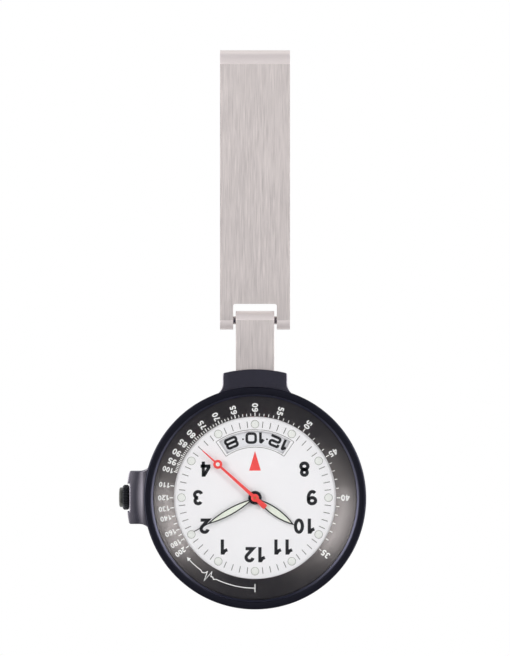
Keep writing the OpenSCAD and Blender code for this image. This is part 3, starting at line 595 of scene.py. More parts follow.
def curl(bm, edges, centre, turn, steps):
    """Bends a strip on round a cross axis, in its second material; returns its new end."""
    flat = set(bm.faces)
    made = bmesh.ops.spin(bm, geom=ends(edges) + list(edges), cent=centre, axis=(1, 0, 0), angle=turn,
                          steps=steps)
    for face in set(bm.faces) - flat:
        face.material_index = 1
    return in_order(only(made["geom_last"], BMEdge))


class FOB_OT_clip(Operator):
    """Bend the garment clip from one strip, with its sprung back leaf and rolled knuckles"""

    bl_idname = "fob.clip"
    bl_label = "Build Clip"

    def execute(self, context):
        s = context.scene.fob_shape
        low, high = box("clip_strip")
        thick = high.z
        bend = -low.y - thick / 2
        shoulder = thick / 2 - bend
        half, gap, corner = high.x, s.notch_w / 2, s.notch_corner
        columns = (-half, -gap, corner - gap, gap - corner, gap, half)
        bm = bmesh.new()
        top = row(bm, columns, -bend, shoulder)
        # back leaf, from the top bend to its lip
        close, out = s.leaf_close, s.lip_turn - s.leaf_close
        tail = curl(bm, top, (0, 0, shoulder), -math.pi - close, 28)
        tail = pull(bm, tail, Vector((0, -math.sin(close), -math.cos(close))) * s.leaf_l)
        hub = ends(tail)[0].co + Vector((0, math.cos(close), -math.sin(close))) * s.lip_r
        tail = curl(bm, tail, hub, s.lip_turn, 6)
        pull(bm, tail, Vector((0, math.sin(out), -math.cos(out))) * s.lip_l)
        # front leaf, down to the notch, and a rolled leg on each side of it
        pin = Vector(JOINTS["clip_hinge"]["pos_m"])
        notch = pin.z + s.notch_h
        edge = pull(bm, top, (0, 0, notch - shoulder))
        for side, leg in ((-1, edge[0]), (1, edge[-1])):
            leg = pull(bm, [leg], (0, 0, -corner))
            inner = min(ends(leg), key=lambda v: abs(v.co.x))
            upper = [v for v in bm.verts if abs(v.co.z - notch) < TINY and v.co.x * side > 0
                     and corner / 2 < half - abs(v.co.x) and abs(v.co.y + bend) < TINY]
            upper.sort(key=lambda v: abs(v.co.x))
            curve = [bm.verts.new((side * x, -bend, z)) for x, z in
                     arc((gap - corner, notch - corner), corner, 90, 0, 5)[1:-1]]
            bm.faces.new([upper[0], upper[1], inner] + curve[::-1])
            leg = pull(bm, leg, (0, 0, pin.z - notch + corner))
            curl(bm, leg, pin, s.roll, 24)
        obj = piece("clip", bm, "clip", ("strip", "roll"), ("clip_strip",), Matrix())
        thicken(obj, thick, s.strip_edge)
        return {"FINISHED"}


class FOB_OT_link(Operator):
    """Roll the link's ends round the clip's pin and the spring bar"""

    bl_idname = "fob.link"
    bl_label = "Build Link"

    def execute(self, context):
        s = context.scene.fob_shape
        low, high = box("link")
        thick = box("clip_strip")[1].z
        upper, lower = (Vector(JOINTS[name]["pos_m"]) for name in ("clip_hinge", "lug_hinge"))
        bm = bmesh.new()
        top = row(bm, (low.x, low.x / 3, high.x / 3, high.x), low.y + thick / 2, upper.z)
        curl(bm, top, upper, -s.roll, 24)
        foot = pull(bm, top, (0, 0, lower.z - upper.z))
        curl(bm, foot, lower, s.roll, 24)
        obj = piece("link_strip", bm, "link", ("strip", "roll"), ("link",), Matrix())
        thicken(obj, thick, s.strip_edge)
        return {"FINISHED"}


def lug(wide, fillet, band, reach, corner):
    """Right half of the outline of a lug that points up, from inside the band to the middle of its end."""
    half = wide / 2
    hub = (half + fillet, math.sqrt((band + fillet) ** 2 - (half + fillet) ** 2))
    lean = math.degrees(math.atan2(hub[1], hub[0]))
    turn = (half - corner, math.sqrt((reach - corner) ** 2 - (half - corner) ** 2))
    tip = math.degrees(math.atan2(turn[1], turn[0]))
    side = arc(hub, fillet, lean - 180, -180, 8) + arc(turn, corner, 0, tip, 5)
    foot = (side[0][0] - 0.3 * MM, side[0][1] - 1.2 * MM)
    return [foot] + side + arc((0, 0), reach, tip, 90, 12)[1:]


def crown_over(bm, low, high, inner, outer, drop):
    """Cuts a lug's front into a grid, hollows it beside the bezel and rounds it over at its end."""
    for i in range(1, 13):
        slice_at(bm, (0, inner + (outer - inner) * i / 12, 0), (0, 1, 0))
    for i in range(-7, 8):
        slice_at(bm, (outer * i / 20, 0, 0), (1, 0, 0))
    for v in bm.verts:
        share = max(0, (v.co.z - low) / (high - low))
        along = max(0, (v.co.xy.length - inner) / (outer - inner))
        # steep beside the bezel, level halfway and rounding down to the end
        fall = 1 - max(0, 1 - along * 2) ** 1.35 + 0.6 * max(0, along * 2 - 1) ** 1.35
        v.co.z -= drop * share * fall


class FOB_OT_case(Operator):
    """Build the case band with its strap hood and crown guard"""

    bl_idname = "fob.case"
    bl_label = "Build Case"

    def execute(self, context):
        s = context.scene.fob_shape
        back, front = level("case_middle")[0], level("bezel")[0]
        band = radius("bezel") - 0.2 * MM
        reach = box("case_middle")[1].z - CENTRE.z
        inner, chamfer = band - s.wall, 0.6 * MM
        bm = lathe([(inner, back), (band - chamfer, back), (band, back + chamfer), (band, front),
                    (inner, front)])
        soften(bm, 0.2 * MM, 2, 25)
        high = front - 0.1 * MM
        low = high - s.lug_depth
        # the hood's apron in front of the link, and an ear on each side of its slot
        half = lug(s.hood_w, s.hood_fillet, band, reach, s.lug_corner)
        hood = prism(mirrored(half), high - s.apron, high)
        soften(hood, s.lug_edge, 5, 40, lambda e: all(v.co.z > high - TINY for v in e.verts))
        crown_over(hood, high - s.apron, high, band, reach, s.lug_crown / 2)
        join(bm, hood)
        slot = s.hood_slot / 2
        ring = [(slot, band - 0.9 * MM)] + [p for p in half if p[0] > slot + 0.2 * MM]
        ring.append((slot, math.sqrt(reach ** 2 - slot ** 2)))
        for side in (-1, 1):
            ear = prism([(side * x, y) for x, y in ring], low, high - s.apron / 2)
            soften(ear, s.lug_edge, 4, 40, lambda e: all(v.co.z < low + TINY for v in e.verts))
            join(bm, ear)
        # the guard, with its recess for the crown
        half = lug(s.guard_w, s.guard_fillet, band, reach, s.lug_corner)
        cut = s.guard_cut / 2
        half = [p for p in half if p[0] > cut + 0.1 * MM]
        half += [(cut, math.sqrt(reach ** 2 - cut ** 2)), (cut, s.guard_floor)]
        guard = prism(mirrored(half), low, high)
        soften(guard, s.lug_edge, 5, 40, lambda e: abs(e.verts[0].co.z - e.verts[1].co.z) < TINY)
        crown_over(guard, high - s.apron, high, band, reach, s.lug_crown)
        join(bm, guard, Matrix.Rotation(math.pi / 2, 4, "Z"))
        piece("case", bm, "watch", ("case",), ("case_middle",))
        return {"FINISHED"}


class FOB_OT_bezel(Operator):
    """Turn the bezel, the glass, its seal and the case back"""

    bl_idname = "fob.bezel"
    bl_label = "Build Bezel, Glass and Back"

    def execute(self, context):
        s = context.scene.fob_shape
        back, front = level("bezel")
        low, high = level("crystal")
        rim, lens, seat = radius("bezel"), radius("crystal"), radius("crystal_gasket")
        hole, skirt = rim - s.bezel_w, rim - 0.8 * MM
        bm = lathe([(hole, low), (skirt, low), (skirt, back), (rim, back), (rim, front), (hole, front)])
        soften(bm, s.bezel_edge, 6, 40,
               lambda e: all(v.co.z > front - TINY and v.co.xy.length > rim - 10 * TINY for v in e.verts))
        soften(bm, 0.12 * MM, 3, 60)
        piece("bezel_ring", bm, "watch", ("bezel",), ("bezel",))
        chamfer = 0.25 * MM
        bm = lathe([(0, low), (lens, low), (lens, high - chamfer), (lens - chamfer, high), (0, high)],
                   closed=False)
        piece("glass", bm, "watch", ("glass",), ("crystal",))
        inside = lens + 0.02 * MM
        bm = lathe([(inside, low), (seat, low), (seat, high), (inside, high - s.seal_slope)])
        piece("glass_seal", bm, "watch", ("seal",), ("crystal_gasket",))
        self.back()
        return {"FINISHED"}

    def back(self):
        """The case back, with its sunk middle, its snap rim and the notch for a case knife."""
        low, high = level("case_back")
        plate = radius("case_back")
        sunk, step = low + 0.15 * MM, low + 0.8 * MM
        snap, inside = plate - 1.61 * MM, plate - 2.55 * MM
        bm = lathe([(0, sunk), (plate - 4 * MM, sunk), (plate - 3.7 * MM, low), (plate - 0.5 * MM, low),
                    (plate, low + 0.5 * MM), (plate, step), (snap, step), (snap, high), (inside, high),
                    (inside, step), (0, step)], closed=False)
        soften(bm, 0.12 * MM, 3, 30)
        half, deep = 1.6 * MM, 1.1 * MM
        for v in bm.verts:
            beside = abs(v.co.x) / half
            if v.co.y < 0.6 * MM - plate and v.co.z < step - 0.1 * MM and beside < 1:
                v.co.y += deep * math.sqrt(1 - beside ** 2)
        piece("back", bm, "watch", ("back",), ("case_back",))


def fillet(points, r, steps=5, loop=False):
    """A polyline with its corners rounded."""
    corners = [Vector(p) for p in points]
    count = len(corners)
    made = [] if loop else [corners[0]]
    for i in range(count if loop else count - 2):
        a, b, c = (corners[(i + k) % count] for k in range(3))
        cut = min(r, (a - b).length / 2, (c - b).length / 2)
        start, end = b + (a - b).normalized() * cut, b + (c - b).normalized() * cut
        for t in (k / steps for k in range(steps + 1)):
            made.append(start * (1 - t) ** 2 + b * 2 * t * (1 - t) + end * t ** 2)
    return made if loop else made + [corners[-1]]


def ribbon(bm, points, width, loop=False):
    """A flat line of even width along a polyline."""
    points = [Vector(p) for p in points]
    count = len(points)
    sides = []
    for i, p in enumerate(points):
        before = points[i - 1] if loop or i else p
        after = points[(i + 1) % count] if loop or i < count - 1 else p
        into = (p - before).normalized() if p != before else (after - p).normalized()
        away = (after - p).normalized() if p != after else into
        normal = Vector((-(into.y + away.y), into.x + away.x)).normalized()
        # keeps a sharp corner from reaching out too far
        reach = width / 2 / max(0.35, normal.dot(Vector((-into.y, into.x))))
        sides.append([bm.verts.new((*(p + normal * reach * k), 0)) for k in (-1, 1)])
    for (a, b), (c, d) in zip(sides, sides[1:] + sides[:1] if loop else sides[1:]):
        bm.faces.new((a, c, d, b))
    return bm


def bow(x, y, wide, tall, start, end):
    """Points on an oval, angles in degrees."""
    return [(x + wide * across, y + tall * up) for across, up in arc((0, 0), 1, start, end, 16)]


# strokes of figures, in parts of their height; a closed stroke ends where it starts
ROUND = {
    "0": [bow(0.35, 0.5, 0.23, 0.4, 0, 360)],
    "1": [[(0.4, 0), (0.4, 1)], [(0.07, 0.68), (0.24, 0.75), (0.37, 0.95)]],
    "2": [bow(0.35, 0.68, 0.225, 0.22, 172, -38) + [(0.12, 0.1), (0.61, 0.1)]],
    "3": [bow(0.33, 0.705, 0.2, 0.195, 160, -90), bow(0.33, 0.305, 0.23, 0.205, 90, -165)],
    "4": [[(0.49, 0), (0.49, 1)], [(0.45, 0.94), (0.1, 0.34)], [(0.02, 0.3), (0.67, 0.3)]],
    "5": [[(0.6, 0.9), (0.22, 0.9), (0.16, 0.52)], bow(0.34, 0.33, 0.235, 0.23, 140, -160)],
    "6": [bow(0.35, 0.3, 0.235, 0.2, 0, 360), bow(0.37, 0.5, 0.26, 0.4, 48, 180) + [(0.11, 0.3)]],
    "7": [[(0.09, 0.9), (0.6, 0.9)], [(0.58, 0.86), (0.4, 0.5), (0.31, 0)]],
    "8": [bow(0.35, 0.715, 0.19, 0.185, 0, 360), bow(0.35, 0.305, 0.233, 0.205, 0, 360)],
}
ROUND["9"] = [[(0.7 - x, 1 - y) for x, y in line] for line in ROUND["6"]]
LEFT, RIGHT, FOOT, WAIST, HEAD = 0.105, 0.895, 0.105, 0.5, 0.895
# the odd days are dots, so these figures need no five, seven or nine
SQUARE = {
    "0": [[(LEFT, FOOT), (LEFT, HEAD), (RIGHT, HEAD), (RIGHT, FOOT), (LEFT, FOOT)]],
    "1": [[(LEFT, 0.62), (0.38, 0.96), (0.38, 0)]],
    "2": [[(LEFT, 0.66), (LEFT, HEAD), (RIGHT, HEAD), (RIGHT, WAIST), (LEFT, WAIST), (LEFT, FOOT),
           (1, FOOT)]],
    "3": [[(0, HEAD), (RIGHT, HEAD), (RIGHT, FOOT), (0, FOOT)], [(0.25, WAIST), (RIGHT, WAIST)]],
    "4": [[(0.74, 0), (0.74, 0.95), (0.05, 0.32), (1, 0.32)]],
    "6": [[(1, HEAD), (LEFT, HEAD), (LEFT, FOOT), (RIGHT, FOOT), (RIGHT, WAIST), (LEFT, WAIST)]],
    "8": [[(0.08, WAIST), (0.08, HEAD), (1, HEAD), (1, WAIST), (0.08, WAIST)],
          [(0.04, FOOT), (0.04, WAIST), (1.04, WAIST), (1.04, FOOT), (0.04, FOOT)]],
}


def figures(text, height, shapes, stroke=0.215, pace=0.735, corner=0.0):
    """Flat mesh of a number, centred; stroke, pace and corner are in parts of its height."""
    bm = bmesh.new()
    x = 0.0
    for sign in text:
        for line in shapes[sign]:
            loop = math.dist(line[0], line[-1]) < TINY
            points = [((x + px) * height, (py - 0.5) * height) for px, py in (line[:-1] if loop else line)]
            if corner:
                points = fillet(points, corner * height, loop=loop)
            ribbon(bm, points, stroke * height, loop)
        # a one is narrow among the square figures
        x += pace * (0.6 if corner and sign == "1" else 1)
    across = [v.co.x for v in bm.verts]
    bmesh.ops.translate(bm, verts=bm.verts, vec=(-(max(across) + min(across)) / 2, 0, 0))
    return bm


class FOB_OT_scale(Operator):
    """Turn the sloping pulse scale ring and print its scale"""

    bl_idname = "fob.scale"
    bl_label = "Build Pulse Scale"

    def execute(self, context):
        p = context.scene.fob_print
        low, high = level("pulsometer_ring")
        outer = radius("pulsometer_ring")
        inner = radius("crystal") - p.scale_w + 0.05 * MM
        seat = outer - 0.2 * MM
        slope = (high - p.scale_step) / (seat - inner)
        bm = lathe([(inner, low), (inner, p.scale_step), (seat, high), (outer, high), (outer, low + 0.6 * MM),
                    (inner + 1.2 * MM, low)], 240)
        soften(bm, 0.06 * MM, 2, 30)
        piece("scale_ring", bm, "watch", ("scale",), ("pulsometer_ring",), DIAL)
        ink = bmesh.new()

        def lay(part, degrees, distance, inward=False):
            """Turns a flat print's x axis to the radius, outwards or inwards, and prints it on the slope."""
            way = -1 if inward else 1
            out, side = at(1, degrees), at(1, degrees - 90)
            for v in part.verts:
                v.co = out * (distance + way * v.co.x) + side * way * v.co.y
            settle(part)

        def settle(part):
            """Prints a flat print on the slope."""
            for v in part.verts:
                v.co.z = p.scale_step + (v.co.xy.length - inner) * slope + 0.02 * MM
            join(ink, part)

        def dash(start, end, width, degrees, distance):
            """Prints a tick along the radius."""
            lay(ribbon(bmesh.new(), [(start, 0), (end, 0)], width), degrees, distance)

        # at n beats a minute, the seconds hand turns this many degrees over n in thirty beats
        full = 10800
        foot, figures_off = inner + 0.1 * MM, 0.72 * MM
        for n in [*range(40, 101), *range(110, 190, 10), 200]:
            long, wide = (0.45 * MM, 1) if n % 5 else (0.62 * MM, 1.3)
            dash(0, long, p.tick_w * wide, full / n, foot)
        # past forty there is a tick for each second, and one at thirty-five
        for degrees in (276, 282, 288, 294, 300, full / 35):
            dash(0, 0.5 * MM, p.tick_w, degrees, foot)
        for n in [*range(35, 100, 5), *range(100, 150, 10), 160, 180, 200][::-1]:
            text = figures(str(n), p.mark_h * (1 if n < 100 else 0.84), ROUND)
            wide = max(v.co.x for v in text.verts)
            # those on the left-hand side are turned round to stay upright
            lay(text, full / n, foot + figures_off + wide, n < 58)
        # start bar, and one heartbeat on a line with an arrow, in degrees and millimetres
        path, bar, line_w, barb = p.trace_r, 0.7 * MM, 0.14 * MM, 0.36 * MM
        dash(-bar, bar, p.tick_w, 0, path)
        beat = ((25.5, 0), (27, 0.22), (28.2, -0.1), (29.3, 0), (30.2, -0.75), (31.6, 1.15), (32.8, -0.4),
                (33.8, 0), (35.4, 0.2), (36.8, 0))
        trace = [(i * 1.5, 0) for i in range(17)] + list(beat) + [(38 + i * 1.5, 0) for i in range(7)]
        mark = ribbon(bmesh.new(), [at(path + h * MM, a).xy for a, h in trace], line_w)
        sheet(mark, [at(path + barb, 46.6), at(path, 49), at(path - barb, 46.6)])
        settle(mark)
        piece("scale_print", ink, "watch", ("white_ink",), matrix=DIAL)
        return {"FINISHED"}


class FOB_OT_dial(Operator):
    """Cut the dial with its date window and print it"""

    bl_idname = "fob.dial"
    bl_label = "Build Dial"

    def execute(self, context):
        p = context.scene.fob_print
        inner, outer = p.window_in, p.window_out
        hole, middle = 0.95 * MM, 4 * MM
        bm = lathe([(r, 0) for r in (hole, middle, inner, outer, radius("dial"))], 144, False)
        middles = {f: f.calc_center_median() for f in bm.faces}
        gone = [f for f, m in middles.items()
                if inner < m.length < outer and abs(math.atan2(m.x, -m.y)) < p.window_half]
        bmesh.ops.delete(bm, geom=gone, context="FACES")
        extrude(bm, bm.faces[:], -p.dial_t)
        bmesh.ops.recalc_face_normals(bm, faces=bm.faces)
        soften(bm, 0.14 * MM, 2, 58, lambda e: all(
            v.co.z > -TINY and inner - 10 * TINY < v.co.length < outer + 10 * TINY for v in e.verts))
        piece("dial_plate", bm, "watch", ("dial",), ("dial",), DIAL)
        self.numerals(p)
        self.lines(p)
        self.dots(p)
        return {"FINISHED"}

    def numerals(self, p):
        """Hour numerals and the red triangle."""
        bm = bmesh.new()
        for hour in (8, 9, 10, 11, 12, 1, 2, 3, 4):
            # the single one stands a little to the right of its hour
            aside = 0.37 * MM if hour == 1 else 0
            spot = at(p.numeral_r, hour * 30) + Vector((aside, 0, INK))
            join(bm, figures(str(hour), p.numeral_h, ROUND), Matrix.Translation(spot))
        piece("dial_numerals", bm, "watch", ("ink",), matrix=DIAL)
        bm = bmesh.new()
        half, foot, tip = MM, -4.63 * MM, -8 * MM
        sheet(bm, [(-half, foot), (0, tip), (half, foot)], INK)
        piece("dial_triangle", bm, "watch", ("red_ink",), matrix=DIAL)

    def lines(self, p):
        """Minute ticks and the line around the date window."""
        bm = bmesh.new()
        tick = (12 * MM, 13.1 * MM)
        for minute in range(60):
            if minute % 5:
                ribbon(bm, [at(r, minute * 6).xy for r in tick], p.tick_w)
        inner, outer = p.window_in - p.window_rim, p.window_out + p.window_rim
        beyond, line_w = 2.5, 0.09 * MM
        half = math.degrees(p.window_half) + beyond
        line = arc((0, 0), outer, 270 - half, 270 + half, 48) + arc((0, 0), inner, 270 + half, 270 - half, 40)
        ribbon(bm, line, line_w, True)
        bmesh.ops.translate(bm, verts=bm.verts, vec=(0, 0, INK))
        piece("dial_lines", bm, "watch", ("grey_ink",), matrix=DIAL)

    def dots(self, p):
        """Twelve luminous dots, each in a thin printed ring."""
        bm = bmesh.new()
        rings = bmesh.new()
        r, line_w = p.dot_r, 0.12 * MM
        for spot in (at(p.dot_at, hour * 30) for hour in range(12)):
            dot = lathe([(0, 0.11 * MM), (0.5 * r, 0.1 * MM), (0.8 * r, 0.075 * MM), (0.95 * r, 0.04 * MM),
                         (r, -0.02 * MM), (0, -0.02 * MM)], 32, False)
            join(bm, dot, Matrix.Translation(spot))
            ribbon(rings, arc(spot, r, 0, 360, 36)[:-1], line_w, True)
        bmesh.ops.translate(rings, verts=rings.verts, vec=(0, 0, INK))
        piece("dial_dots", bm, "watch", ("dot",), ("lume_dots",), DIAL)
        piece("dial_dot_rings", rings, "watch", ("pale_ink",), matrix=DIAL)


class FOB_OT_date(Operator):
    """Print the date disc behind the window"""

    bl_idname = "fob.date"
    bl_label = "Build Date Disc"

    def execute(self, context):
        p = context.scene.fob_print
        face = level("date_disc")[1]
        days, shown, dot_r = 31, 10, 0.16 * MM
        bm = bmesh.new()
        for day in range(1, days + 1):
            degrees = (day - shown) * 360 / days
            if day % 2:
                mark = bmesh.new()
                sheet(mark, arc((0, 0), dot_r, 0, 345, 23))
            else:
                mark = figures(str(day), p.date_h, SQUARE, 0.235, 1.16, 0.26)
            spot = Matrix.Translation(at(p.date_r, 180 + degrees) + Vector((0, 0, face + INK)))
            join(bm, mark, spot @ turned(degrees))
        piece("date_print", bm, "date_disc", ("ink",), matrix=DIAL)
        return {"FINISHED"}


class FOB_OT_hands(Operator):
    """Build the hour, minute and seconds hands"""

    bl_idname = "fob.hands"
    bl_label = "Build Hands"

    def execute(self, context):
        p = context.scene.fob_print
        reach = {name: max((v.co - CENTRE).xz.length for v in frame["nodes"][name].data.vertices)
                 for name in ("hour_hand", "minute_hand", "second_hand")}
        for name, body, wide, end in (("hour_hand", "hour", p.hour_w, reach["hour_hand"]),
                                      ("minute_hand", "minute", p.minute_w, p.minute_leaf)):
            low, high = level(name)
            back, front = low + 0.08 * MM, high - 0.08 * MM
            bm = bmesh.new()
            self.blade(bm, 0.2 * MM, end, wide, back, front, p.hand_rim)
            if name == "minute_hand":
                self.needle(bm, 0.1 * MM, end - 0.9 * MM, 0.07 * MM, reach[name], back, front)
            self.disc(bm, p.hub_r, low, high)
            piece("dressed_" + name, bm, body, ("hand", "lume"), (name, name + "_lume"),
                  DIAL @ turned(TIMES[body]))
        self.seconds(p, reach["second_hand"])
        return {"FINISHED"}

    def blade(self, bm, start, end, wide, back, front, rim):
        """A leaf-shaped blade with a filled middle inside its rim."""
        mid, half = (start + end) / 2, (end - start) / 2
        r = (half ** 2 + wide ** 2 / 4) / wide
        whole = sheet(bm, self.leaf(mid, half, wide), front)
        short = math.sqrt((r - rim) ** 2 - (r - wide / 2) ** 2)
        fill = sheet(bm, self.leaf(mid, short, wide - 2 * rim), front - 0.02 * MM, 1)
        edges = whole.edges[:] + fill.edges[:]
        bmesh.ops.delete(bm, geom=[whole], context="FACES_ONLY")
        rims = bmesh.ops.bridge_loops(bm, edges=edges)["faces"]
        for face in rims:
            face.material_index = 0
        made = bmesh.ops.extrude_face_region(bm, geom=rims + [fill], use_keep_orig=True)["geom"]
        for v in only(made, BMVert):
            v.co.z = back

    def leaf(self, mid, half, wide):
        """Outline between two arcs that meet in points on the y axis."""
        r = (half ** 2 + wide ** 2 / 4) / wide
        sweep = math.degrees(math.asin(half / r))
        right = arc((wide / 2 - r, mid), r, -sweep, sweep, 24)
        return right + [(-x, y) for x, y in right[-2:0:-1]]

    def needle(self, bm, root, start, tip, end, back, front):
        """A straight tapering end; root and tip are half its widths."""
        join(bm, prism([(-root, start), (root, start), (tip, end), (-tip, end)], back, front))

    def disc(self, bm, r, back, front):
        """A round boss with a soft edge."""
        part = lathe([(0, back), (r, back), (r, front), (0, front)], 48, False)
        soften(part, 0.06 * MM, 2, 40)
        join(bm, part)

    def seconds(self, p, reach):
        """The seconds hand, with its luminous ring and the end of its pipe."""
        low, high = level("second_hand")
        back, front = high - 0.23 * MM, high - 0.08 * MM
        ring, hole, spot = p.second_ring, p.second_ring - 0.44 * MM, p.second_ring_at
        sunk = 0.1 * MM
        stalk = mirrored([(0.5 * MM, -p.second_tail), (0.3 * MM, 0), (0.19 * MM, spot - ring + sunk)])
        bm = prism(fillet(stalk, 0.3 * MM, 4, True), back, front)
        self.needle(bm, 0.16 * MM, spot + ring - sunk, 0.085 * MM, reach, back, front)
        soften(bm, 0.03 * MM, 2, 60)
        loop = lathe([(hole, back), (ring, back), (ring, front), (hole, front)], 40)
        soften(loop, 0.04 * MM, 2, 40)
        join(bm, loop, Matrix.Translation((0, spot, 0)))
        self.disc(bm, p.second_hub, low, high)
        paint(bm, 0)
        top, side = front - 0.03 * MM, hole + 0.03 * MM
        fill = lathe([(0, top), (side, top), (side, back), (0, back)], 32, False)
        paint(fill, 1)
        join(bm, fill, Matrix.Translation((0, spot, 0)))
        pipe = lathe([(0, high + 0.02 * MM), (0.13 * MM, high + 0.01 * MM), (0.15 * MM, high - 0.02 * MM),
                      (0, high - 0.02 * MM)], 24, False)
        paint(pipe, 2)
        join(bm, pipe)
        piece("dressed_second_hand", bm, "seconds", ("hand_red", "dot", "ink"),
              ("second_hand", "second_hand_lume"), DIAL @ turned(TIMES["seconds"]))


class FOB_OT_crown(Operator):
    """Build the knurled crown"""

    bl_idname = "fob.crown"
    bl_label = "Build Crown"

    def execute(self, context):
        s = context.scene.fob_shape
        low, high = box("crown")
        axis = Vector(JOINTS["crown_turn"]["pos_m"])
        place = Matrix.Translation((high.x, axis.y, axis.z)) @ Matrix.Rotation(-math.pi / 2, 4, "Y")
        r, c, total = (high.z - low.z) / 2, s.cap_d / 2, high.x - low.x
        outline = []
        for i in range(s.ridges):
            # up one flank of a ridge, along its top and down the other
            for part, deep in ((0, s.ridge_h), (0.18, 0), (0.5, 0), (0.68, s.ridge_h)):
                turn = 360 * (i + part) / s.ridges
                outline.append(arc((0, 0), r - deep, turn, turn, 1)[0])
        bm = prism(outline, 0, s.crown_l)
        for z in (s.ridge_end, s.crown_l - s.ridge_end):
            slice_at(bm, (0, 0, z), (0, 0, 1))
        tips = [v for v in bm.verts if not TINY < v.co.z < s.crown_l - TINY]
        less = 1 - s.ridge_end / r
        bmesh.ops.scale(bm, vec=(less, less, 1), verts=tips)
        soften(bm, 0.07 * MM, 2, 70, lambda e: abs(e.verts[0].co.z - e.verts[1].co.z) < TINY)
        foot = s.crown_l - 0.1 * MM
        cap = lathe([(0, foot), (c, foot), (c, total - 0.28 * MM), (c - 0.1 * MM, total - 0.14 * MM),
                     (c - 0.32 * MM, total - 0.05 * MM), (0.5 * c, total - 0.01 * MM), (0, total)], 64, False)
        paint(cap, 1)
        join(bm, cap)
        piece("knurled_crown", bm, "crown", ("crown", "cap"), ("crown",), place)
        return {"FINISHED"}


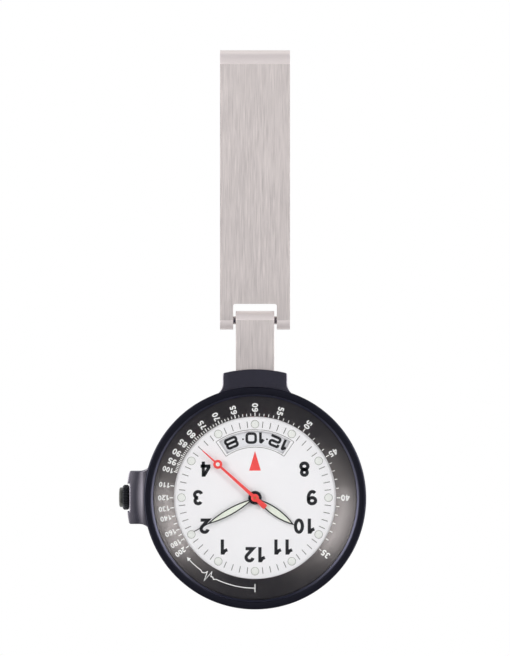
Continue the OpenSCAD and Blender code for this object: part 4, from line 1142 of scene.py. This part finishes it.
class FOB_OT_stage(Operator):
    """Set the camera, the light, the white surroundings and the floor"""

    bl_idname = "fob.stage"
    bl_label = "Set Stage"

    def execute(self, context):
        scene = context.scene
        s = scene.fob_stage
        scene.view_settings.view_transform = "Standard"
        self.camera(scene, s)
        self.room(scene, s)
        for side in (-1, 1):
            self.softbox(scene, s, side)
        self.cards(scene, s)
        self.floor(scene, s)
        return {"FINISHED"}

    def camera(self, scene, s):
        """Looks straight at the dial from far away."""
        data = bpy.data.cameras.new("camera")
        data.sensor_width = 24
        data.lens = data.sensor_width * s.distance / s.height
        data.clip_start, data.clip_end = s.distance / 20, s.distance * 20
        camera = bpy.data.objects.new("camera", data)
        camera.location = (0, CENTRE.y - s.distance, -s.centre)
        camera.rotation_euler = (math.pi / 2, 0, 0)
        scene.collection.objects.link(camera)
        scene.camera = camera

    def seen(self, tree):
        """One for the rays that look at the surroundings, none for those that only light the watch."""
        rays = add(tree, "ShaderNodeLightPath", {}).outputs
        looks = rays["Is Camera Ray"]
        for other in ("Is Glossy Ray", "Is Transmission Ray"):
            most = add(tree, "ShaderNodeMath", {0: looks, 1: rays[other]}, operation="MAXIMUM")
            looks = most.outputs["Value"]
        return looks

    def room(self, scene, s):
        """White to the eye, and a plain fill of light."""
        world = bpy.data.worlds.new("studio")
        world.use_nodes = True
        tree = world.node_tree
        strength = add(tree, "ShaderNodeMapRange", {"Value": self.seen(tree), "To Min": s.fill,
                                                    "To Max": 1.0})
        ground = tree.nodes["Background"]
        ground.inputs["Color"].default_value = (1, 1, 1, 1)
        tree.links.new(strength.outputs["Result"], ground.inputs["Strength"])
        scene.world = world

    def softbox(self, scene, s, side):
        """A large lamp beside the camera, a little above the watch."""
        data = bpy.data.lights.new("softbox", "AREA")
        data.shape = "RECTANGLE"
        data.size, data.size_y = s.box_w, s.box_h
        data.energy = s.key
        lamp = bpy.data.objects.new("softbox", data)
        flat = math.cos(s.box_rise)
        way = Vector((side * flat * math.sin(s.box_side), -flat * math.cos(s.box_side), math.sin(s.box_rise)))
        lamp.location = Vector((0, 0, CENTRE.z)) + way * s.box_far
        lamp.rotation_euler = (-way).to_track_quat("-Z", "Y").to_euler()
        scene.collection.objects.link(lamp)

    def cards(self, scene, s):
        """Dark cards before, behind and above the watch, seen only by what mirrors them."""
        # paper, matt: a dark blue-grey that draws lines on the polished metal
        paper = finish("card_paper_dark", linear("525972"), roughness=1.0)[0]
        half, over, far = s.card_w / 2, s.card_over / 2, s.card_far
        front = [(s.card_foot, -s.card_foot), (half, 0), (s.card_head / 2, s.card_top)]
        for outline, lean, away in ((front, math.pi / 2, (0, -far, 0)),
                                    ([(half, -half), (half, half)], math.pi / 2, (0, far, 0)),
                                    ([(2 * far, -over), (2 * far, over)], 0, (0, -far / 5, far))):
            bm = bmesh.new()
            sheet(bm, mirrored(outline))
            bm.transform(Matrix.Translation(CENTRE + Vector(away)) @ Matrix.Rotation(lean, 4, "X"))
            card = self.prop(scene, "card", bm, paper)
            for ray in ("camera", "diffuse", "transmission", "shadow"):
                setattr(card, "visible_" + ray, False)

    def floor(self, scene, s):
        """A pale floor that fades into the white surroundings."""
        bm = bmesh.new()
        bmesh.ops.create_circle(bm, cap_ends=True, segments=96, radius=s.distance)
        bmesh.ops.translate(bm, verts=bm.verts, vec=(0, 0, box("case_middle")[0].z - s.drop))
        # painted board, matt: nearly white, with a soft shadow under the watch
        look, tree, shader = finish("floor_board_white", (s.floor_white,) * 3, roughness=0.9)
        place = add(tree, "ShaderNodeTexCoord", {}).outputs["Object"]
        flat = add(tree, "ShaderNodeMapping", {"Vector": place, "Scale": (1, 1, 0)}).outputs["Vector"]
        far = add(tree, "ShaderNodeVectorMath", {0: flat}, operation="LENGTH").outputs["Value"]
        fade = add(tree, "ShaderNodeMapRange", {"Value": far, "From Min": s.fade_in, "From Max": s.fade_out,
                                                "To Min": s.floor_glow}).outputs["Result"]
        share = add(tree, "ShaderNodeMath", {0: fade, 1: self.seen(tree)},
                    operation="MULTIPLY").outputs["Value"]
        glow = add(tree, "ShaderNodeEmission", {"Color": (1, 1, 1, 1), "Strength": 1.0}).outputs["Emission"]
        mix = add(tree, "ShaderNodeMixShader", {0: share, 1: shader.outputs["BSDF"], 2: glow})
        tree.links.new(mix.outputs["Shader"], tree.nodes["Material Output"].inputs["Surface"])
        self.prop(scene, "floor", bm, look).visible_glossy = False

    def prop(self, scene, name, bm, look):
        """Makes a stage object of a bmesh."""
        mesh = meshed(name, bm)
        mesh.materials.append(look)
        obj = bpy.data.objects.new(name, mesh)
        scene.collection.objects.link(obj)
        return obj


class FOB_PT_panel(Panel):
    """Sizes, colours and building steps of the fob watch"""

    bl_idname = "FOB_PT_panel"
    bl_label = "Fob Watch"
    bl_space_type = "VIEW_3D"
    bl_region_type = "UI"
    bl_category = "Fob Watch"

    def draw(self, context):
        for step in STEPS:
            self.layout.operator(step.bl_idname)
        for name, group in GROUPS.items():
            part = self.layout.box()
            part.label(text=group.__doc__)
            for key in group.__annotations__:
                part.prop(getattr(context.scene, name), key)


GROUPS = {"fob_shape": FobShape, "fob_print": FobPrint, "fob_colour": FobColour, "fob_stage": FobStage}
STEPS = (FOB_OT_finish, FOB_OT_clip, FOB_OT_link, FOB_OT_case, FOB_OT_bezel, FOB_OT_scale, FOB_OT_dial,
         FOB_OT_date, FOB_OT_hands, FOB_OT_crown, FOB_OT_stage)
CLASSES = (*GROUPS.values(), *STEPS, FOB_PT_panel)


def register():
    for cls in CLASSES:
        bpy.utils.register_class(cls)
    for name, group in GROUPS.items():
        setattr(bpy.types.Scene, name, PointerProperty(type=group))


def unregister():
    for name in GROUPS:
        delattr(bpy.types.Scene, name)
    for cls in CLASSES[::-1]:
        bpy.utils.unregister_class(cls)


def main():
    """Builds every piece in order."""
    register()
    bpy.ops.fob.finish()
    bpy.ops.fob.clip()
    bpy.ops.fob.link()
    bpy.ops.fob.case()
    bpy.ops.fob.bezel()
    bpy.ops.fob.scale()
    bpy.ops.fob.dial()
    bpy.ops.fob.date()
    bpy.ops.fob.hands()
    bpy.ops.fob.crown()
    bpy.ops.fob.stage()


if __name__ == "__main__":
    main()
